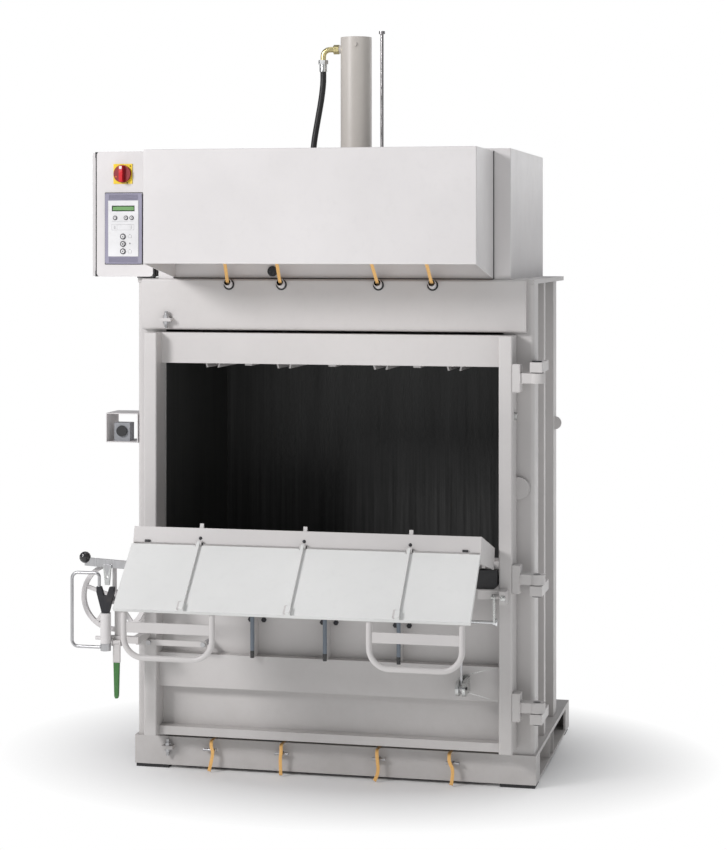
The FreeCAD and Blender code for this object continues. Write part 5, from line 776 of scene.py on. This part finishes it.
def switch_marks():
    """The marks on the main switch's knob and on its plate."""
    bm = bmesh.new()
    tablet(bm, rectangle(-0.7560, 2.1065, -0.7460, 2.1165), KNOB_FRONT, 0.0004)
    new_piece("knob_mark", bm, "print", "switch_knob", smooth=False)
    bm = bmesh.new()
    tablet(bm, [(-0.7750, 2.0785), (-0.7712, 2.0770), (-0.7700, 2.0815), (-0.7738, 2.0830)], KNOB_RIM, 0.0004)
    new_piece("knob_point", bm, "orange", "switch_knob", smooth=False)
    bm = bmesh.new()
    for x, z in ((-0.7232, 2.1172), (-0.7346, 2.0583)):
        tablet(bm, rectangle(x - 0.0028, z - 0.0020, x + 0.0028, z + 0.0020), SWITCH_PLATE, PRINT_DEPTH)
    new_piece("switch_marks", bm, "black", "frame", smooth=False)


def cabinet_edges():
    """The lid's seal at the left and at the lower right corner, black rubber strips that also stand in for
    the shadow in the gap round the lid, and the flange at the cabinet's left.
    """
    # Rubber seal strips that are also painted shadow in the gap at the lid's left and lower right corner.
    seal, left, right, bottom = -0.389, -0.8520, -0.6385, 1.7256
    bm = bmesh.new()
    strip(bm, seal, (left, 1.728), (left, 2.168), 0.0052, 0.020)
    for z in (1.728, 2.148):
        strip(bm, seal - 0.001, (left, z), (left, z + 0.020), 0.0075, 0.022)
    strip(bm, seal, (-0.700, bottom), (right, bottom), 0.0046, 0.020)
    strip(bm, seal, (right, bottom), (right, 1.757), 0.0046, 0.020)
    new_piece("lid_gasket_and_shadow", bm, "rubber", "frame", smooth=False)
    bm = bmesh.new()
    strip(bm, -0.3795, (-0.8635, 1.730), (-0.8635, 2.166), 0.0170, 0.003)
    new_piece("cabinet_flange", bm, "cover", "frame", smooth=False)


# ---------------------------------------------------------------- welds, threads, fasteners

HINGE_HEIGHTS = (1.394, 0.722, 0.294)
LUG_EDGE_HEIGHTS = (1.414, 1.448, 0.668, 0.702, 0.240, 0.274)
RIB_PLACES = (-0.257, 0.0, 0.257)


def welds():
    """The beads at the hinge brackets, at the door's ribs and at the hinges' fixed lugs."""
    bm = bmesh.new()
    seed = 1
    for centre in HINGE_HEIGHTS:
        for side in SIDES:
            weld(bm, *(Vector((x, -0.4845, centre + side*0.046)) for x in (0.647, 0.671)),
                 Vector((0, -0.6, side)), 0.0028, seed)
            seed += 1
        weld(bm, *(Vector((0.6725, -0.485, centre + side*0.017)) for side in SIDES),
             Vector((1, -1, 0)), 0.003, seed)
    for x in RIB_PLACES:
        for side in SIDES:
            weld(bm, *(Vector((x + side*0.0072, -0.470, z)) for z in (0.47, 0.50)), Vector((side, -1, 0)),
                 0.0022, seed)
            seed += 1
    new_piece("door_welds", bm, "frame", "main_door")

    bm = bmesh.new()
    for z in LUG_EDGE_HEIGHTS:
        weld(bm, *(Vector((0.7165, y, z)) for y in (-0.440, -0.380)), Vector((1, 0, 1)), 0.003, seed)
        seed += 1
    new_piece("lug_welds", bm, "frame", "frame")


def stop_threads():
    """The threads at both ends of the door stops' screws."""
    bm = bmesh.new()
    for y, foot in ((-0.4204, 1.548), (-0.4004, 0.048)):
        for low, high in ((0.0, 0.012), (0.048, 0.060)):
            thread(bm, *(Vector((-0.586, y, foot + up)) for up in (low, high)), 0.006, 0.00175, 0.0005)
    new_piece("stop_threads", bm, "plated", "frame")


def latch_fasteners():
    """The pressed collars on the ends of the latch's cross rod, and the nuts at its blocks."""
    bail_y, rod_z, nut_z = -0.531, 0.584, 0.668
    bm = bmesh.new()
    for side in SIDES:
        lathe(bm, Vector((side*0.598, bail_y, rod_z)), Vector((side, 0, 0)),
              [(0.0135, 0.0), (0.0140, 0.0012), (0.0140, 0.0050), (0.0120, 0.0062), (0.0075, 0.0068)], 30)
    new_piece("latch_collars", bm, "chrome", "latch_bail")
    bm = bmesh.new()
    for side in SIDES:
        hex_head(bm, Vector((side*0.5895, bail_y, nut_z)), Vector((-side, 0, 0)), 0.0095)
        hex_head(bm, Vector((side*0.6235, -0.5462, nut_z)), TO_OPERATOR, 0.0085)
    new_piece("latch_nuts", bm, "plated", "main_door")


def trims():
    """A black strip round the hood's rear edge, painted shadow for the gap between the hood and the housing
    and header, and a black rubber block beside the flap's right end that also stands in for the shadow under
    the flap's wing.
    """
    joint, bottom = -0.3885, 1.7235
    # A black strip painted as the shadow in the gap round the hood's rear edge.
    bm = bmesh.new()
    for side in SIDES:
        strip(bm, joint, (side*0.5683, bottom), (side*0.5683, 2.159), 0.0026, 0.004)
    strip(bm, joint, (-0.567, bottom), (0.567, bottom), 0.0028, 0.004)
    new_piece("hood_gap_shadow", bm, "rubber", "frame", smooth=False)

    # A black rubber block that also stands in for the shadow under the flap's right wing.
    left, right, top, turn_z, radius, steps = 0.5090, 0.5970, 0.7520, 0.7050, 0.016, 5
    outline = [(left, top), (left, turn_z)]
    for centre, first in ((0.5250, math.pi), (0.5810, 1.5*math.pi)):
        for step in range(steps + 1):
            angle = first + step*math.pi/(2*steps)
            outline.append((centre + radius*math.cos(angle), turn_z + radius*math.sin(angle)))
    outline += [(right, turn_z), (right, top)]
    bm = bmesh.new()
    tablet(bm, outline, -0.500, 0.0888)
    new_piece("wing_shadow_buffer", bm, "rubber", "main_door", smooth=False)


def flap_fittings():
    """Rubber stops and bolts along the flap's fold, and the lugs at the lower ends of its ribs."""
    lip_out = Vector((0, -0.963, 0.269))
    leaf_out, leaf_down = Vector((0, -0.701, 0.713)), Vector((0, -0.713, -0.701))
    bm = bmesh.new()
    for x in (-0.537, 0.537):
        bar(bm, *(Vector((x + side*0.009, -0.7676, 0.8538)) for side in SIDES), 0.008, 0.006, lip_out)
    new_piece("fold_stops", bm, "rubber", "lower_flap", smooth=False)
    bolts, lugs = bmesh.new(), bmesh.new()
    for x in (-0.355, 0.0, 0.355):
        hex_head(bolts, Vector((x, -0.7608, 0.8670)), lip_out, 0.0050)
        edge = Vector((x - 0.0105, -0.7812, 0.8460)) + leaf_out*0.006
        bar(lugs, edge + leaf_down*0.234, edge + leaf_down*0.262, 0.011, 0.012, leaf_out)
    new_piece("rib_bolts", bolts, "dark", "lower_flap")
    new_piece("rib_lugs", lugs, "frame", "upper_flap", smooth=False)


for build in (straps, strap_tails, keypad_print, keypad_border, key_faces, switch_marks, cabinet_edges, welds,
              stop_threads, latch_fasteners, trims, flap_fittings):
    build()


# ---------------------------------------------------------------- edges that catch the light

EDGE_ANGLE = math.radians(40)       # edges flatter than this keep no bevel
EDGE_WIDTHS = {
    "strap_hood": 0.0012, "upper_housing": 0.0012, "cabinet_lid": 0.0022, "cabinet_body": 0.0015,
    "keypad_panel": 0.0012, "flap_upper": 0.0010, "flap_lower": 0.0010, "switch_knob": 0.0016,
    "switch_plate": 0.0008, "header_beam": 0.0012, "base_frame": 0.0015, "door_frame": 0.0010}
for name, width in EDGE_WIDTHS.items():
    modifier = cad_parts[name].modifiers.new("edges", "BEVEL")
    modifier.width = width
    modifier.segments = 2
    modifier.limit_method = "ANGLE"
    modifier.angle_limit = EDGE_ANGLE
    modifier.harden_normals = False


# ---------------------------------------------------------------- floor, light, camera

def studio_floor():
    """A pale floor that fades into the white background."""
    bpy.ops.mesh.primitive_plane_add(size=60.0, location=(0, 0, 0))
    floor = bpy.context.object
    floor.name = "floor"
    t = Tree("studio_floor")
    shade = t.mix(t.ramp(t.noise(0.7, 3.0), 0.35, 0.65), (0.90, 0.90, 0.90), (0.92, 0.92, 0.92))
    t.set(Base_Color=shade, Roughness=0.75, Specular_IOR_Level=0.1)
    away = t.add("ShaderNodeVectorMath", operation="LENGTH")
    t.put(away.inputs[0], t.stretched(0.8, 1.0, 0.0))
    backdrop = t.add("ShaderNodeEmission")
    backdrop.inputs["Color"].default_value = FULL_WHITE
    fade = t.add("ShaderNodeMixShader")
    t.put(fade.inputs[0], t.ramp(away.outputs["Value"], 0.55, 1.05))
    t.links.new(t.surface.outputs[0], fade.inputs[1])
    t.links.new(backdrop.outputs[0], fade.inputs[2])
    t.links.new(fade.outputs[0], t.out.inputs["Surface"])
    floor.data.materials.append(t.material)


def lamp(name, location, target, size, watts, colour=(1, 1, 1)):
    """A rectangular lamp that looks at a target."""
    light = bpy.data.lights.new(name, "AREA")
    light.shape = "RECTANGLE"
    light.size, light.size_y = size
    light.energy = watts
    light.color = colour
    holder = bpy.data.objects.new(name, light)
    holder.location = location
    holder.rotation_euler = (Vector(target) - Vector(location)).to_track_quat("-Z", "Y").to_euler()
    bpy.context.scene.collection.objects.link(holder)
    return holder


def lights():
    """Key, fill, top and rear lamps, and a weak one below the hood's front."""
    lamp("key", (-3.8, -5.0, 4.0), (0, -0.3, 1.2), (1.7, 1.5), 260, (1.0, 0.985, 0.99))
    lamp("fill", (4.4, -4.6, 2.6), (0, 0, 1.2), (3.0, 3.0), 26, (1.0, 0.99, 0.95))
    lamp("top", (0.4, -0.6, 6.2), (0, 0, 1.0), (4.0, 4.0), 70)
    lamp("rear", (2.5, 4.5, 3.5), (0, 0, 1.4), (3.0, 3.0), 40)
    board = lamp("board", (0.05, -0.82, 1.38), (0.05, -0.67, 1.75), (1.15, 0.22), 0.8)
    board.visible_camera = False
    board.visible_glossy = False


def surroundings():
    """A white background for the camera, and a soft grey-blue light for all else."""
    world = bpy.data.worlds.new("studio")
    bpy.context.scene.world = world
    world.use_nodes = True
    nodes, links = world.node_tree.nodes, world.node_tree.links
    nodes.clear()

    def background(colour, strength):
        node = nodes.new("ShaderNodeBackground")
        node.inputs["Color"].default_value = colour
        node.inputs["Strength"].default_value = strength
        return node.outputs[0]

    mix = nodes.new("ShaderNodeMixShader")
    links.new(nodes.new("ShaderNodeLightPath").outputs["Is Camera Ray"], mix.inputs[0])
    links.new(background((0.93, 0.95, 1.0, 1.0), 0.24), mix.inputs[1])
    links.new(background(FULL_WHITE, 1.0), mix.inputs[2])
    links.new(mix.outputs[0], nodes.new("ShaderNodeOutputWorld").inputs["Surface"])


def camera():
    data = bpy.data.cameras.new("camera")
    data.sensor_fit = "AUTO"
    data.sensor_width = 36.0
    data.lens = 88.2
    data.shift_x = 0.0
    data.shift_y = -0.212
    data.dof.use_dof = False
    eye = bpy.data.objects.new("camera", data)
    eye.location = (1.698, -7.378, 1.840)
    eye.rotation_euler = (math.radians(90), 0, math.radians(12.76))
    bpy.context.scene.collection.objects.link(eye)
    bpy.context.scene.camera = eye
    bpy.context.scene.view_settings.view_transform = "Standard"


studio_floor()
lights()
surroundings()
camera()
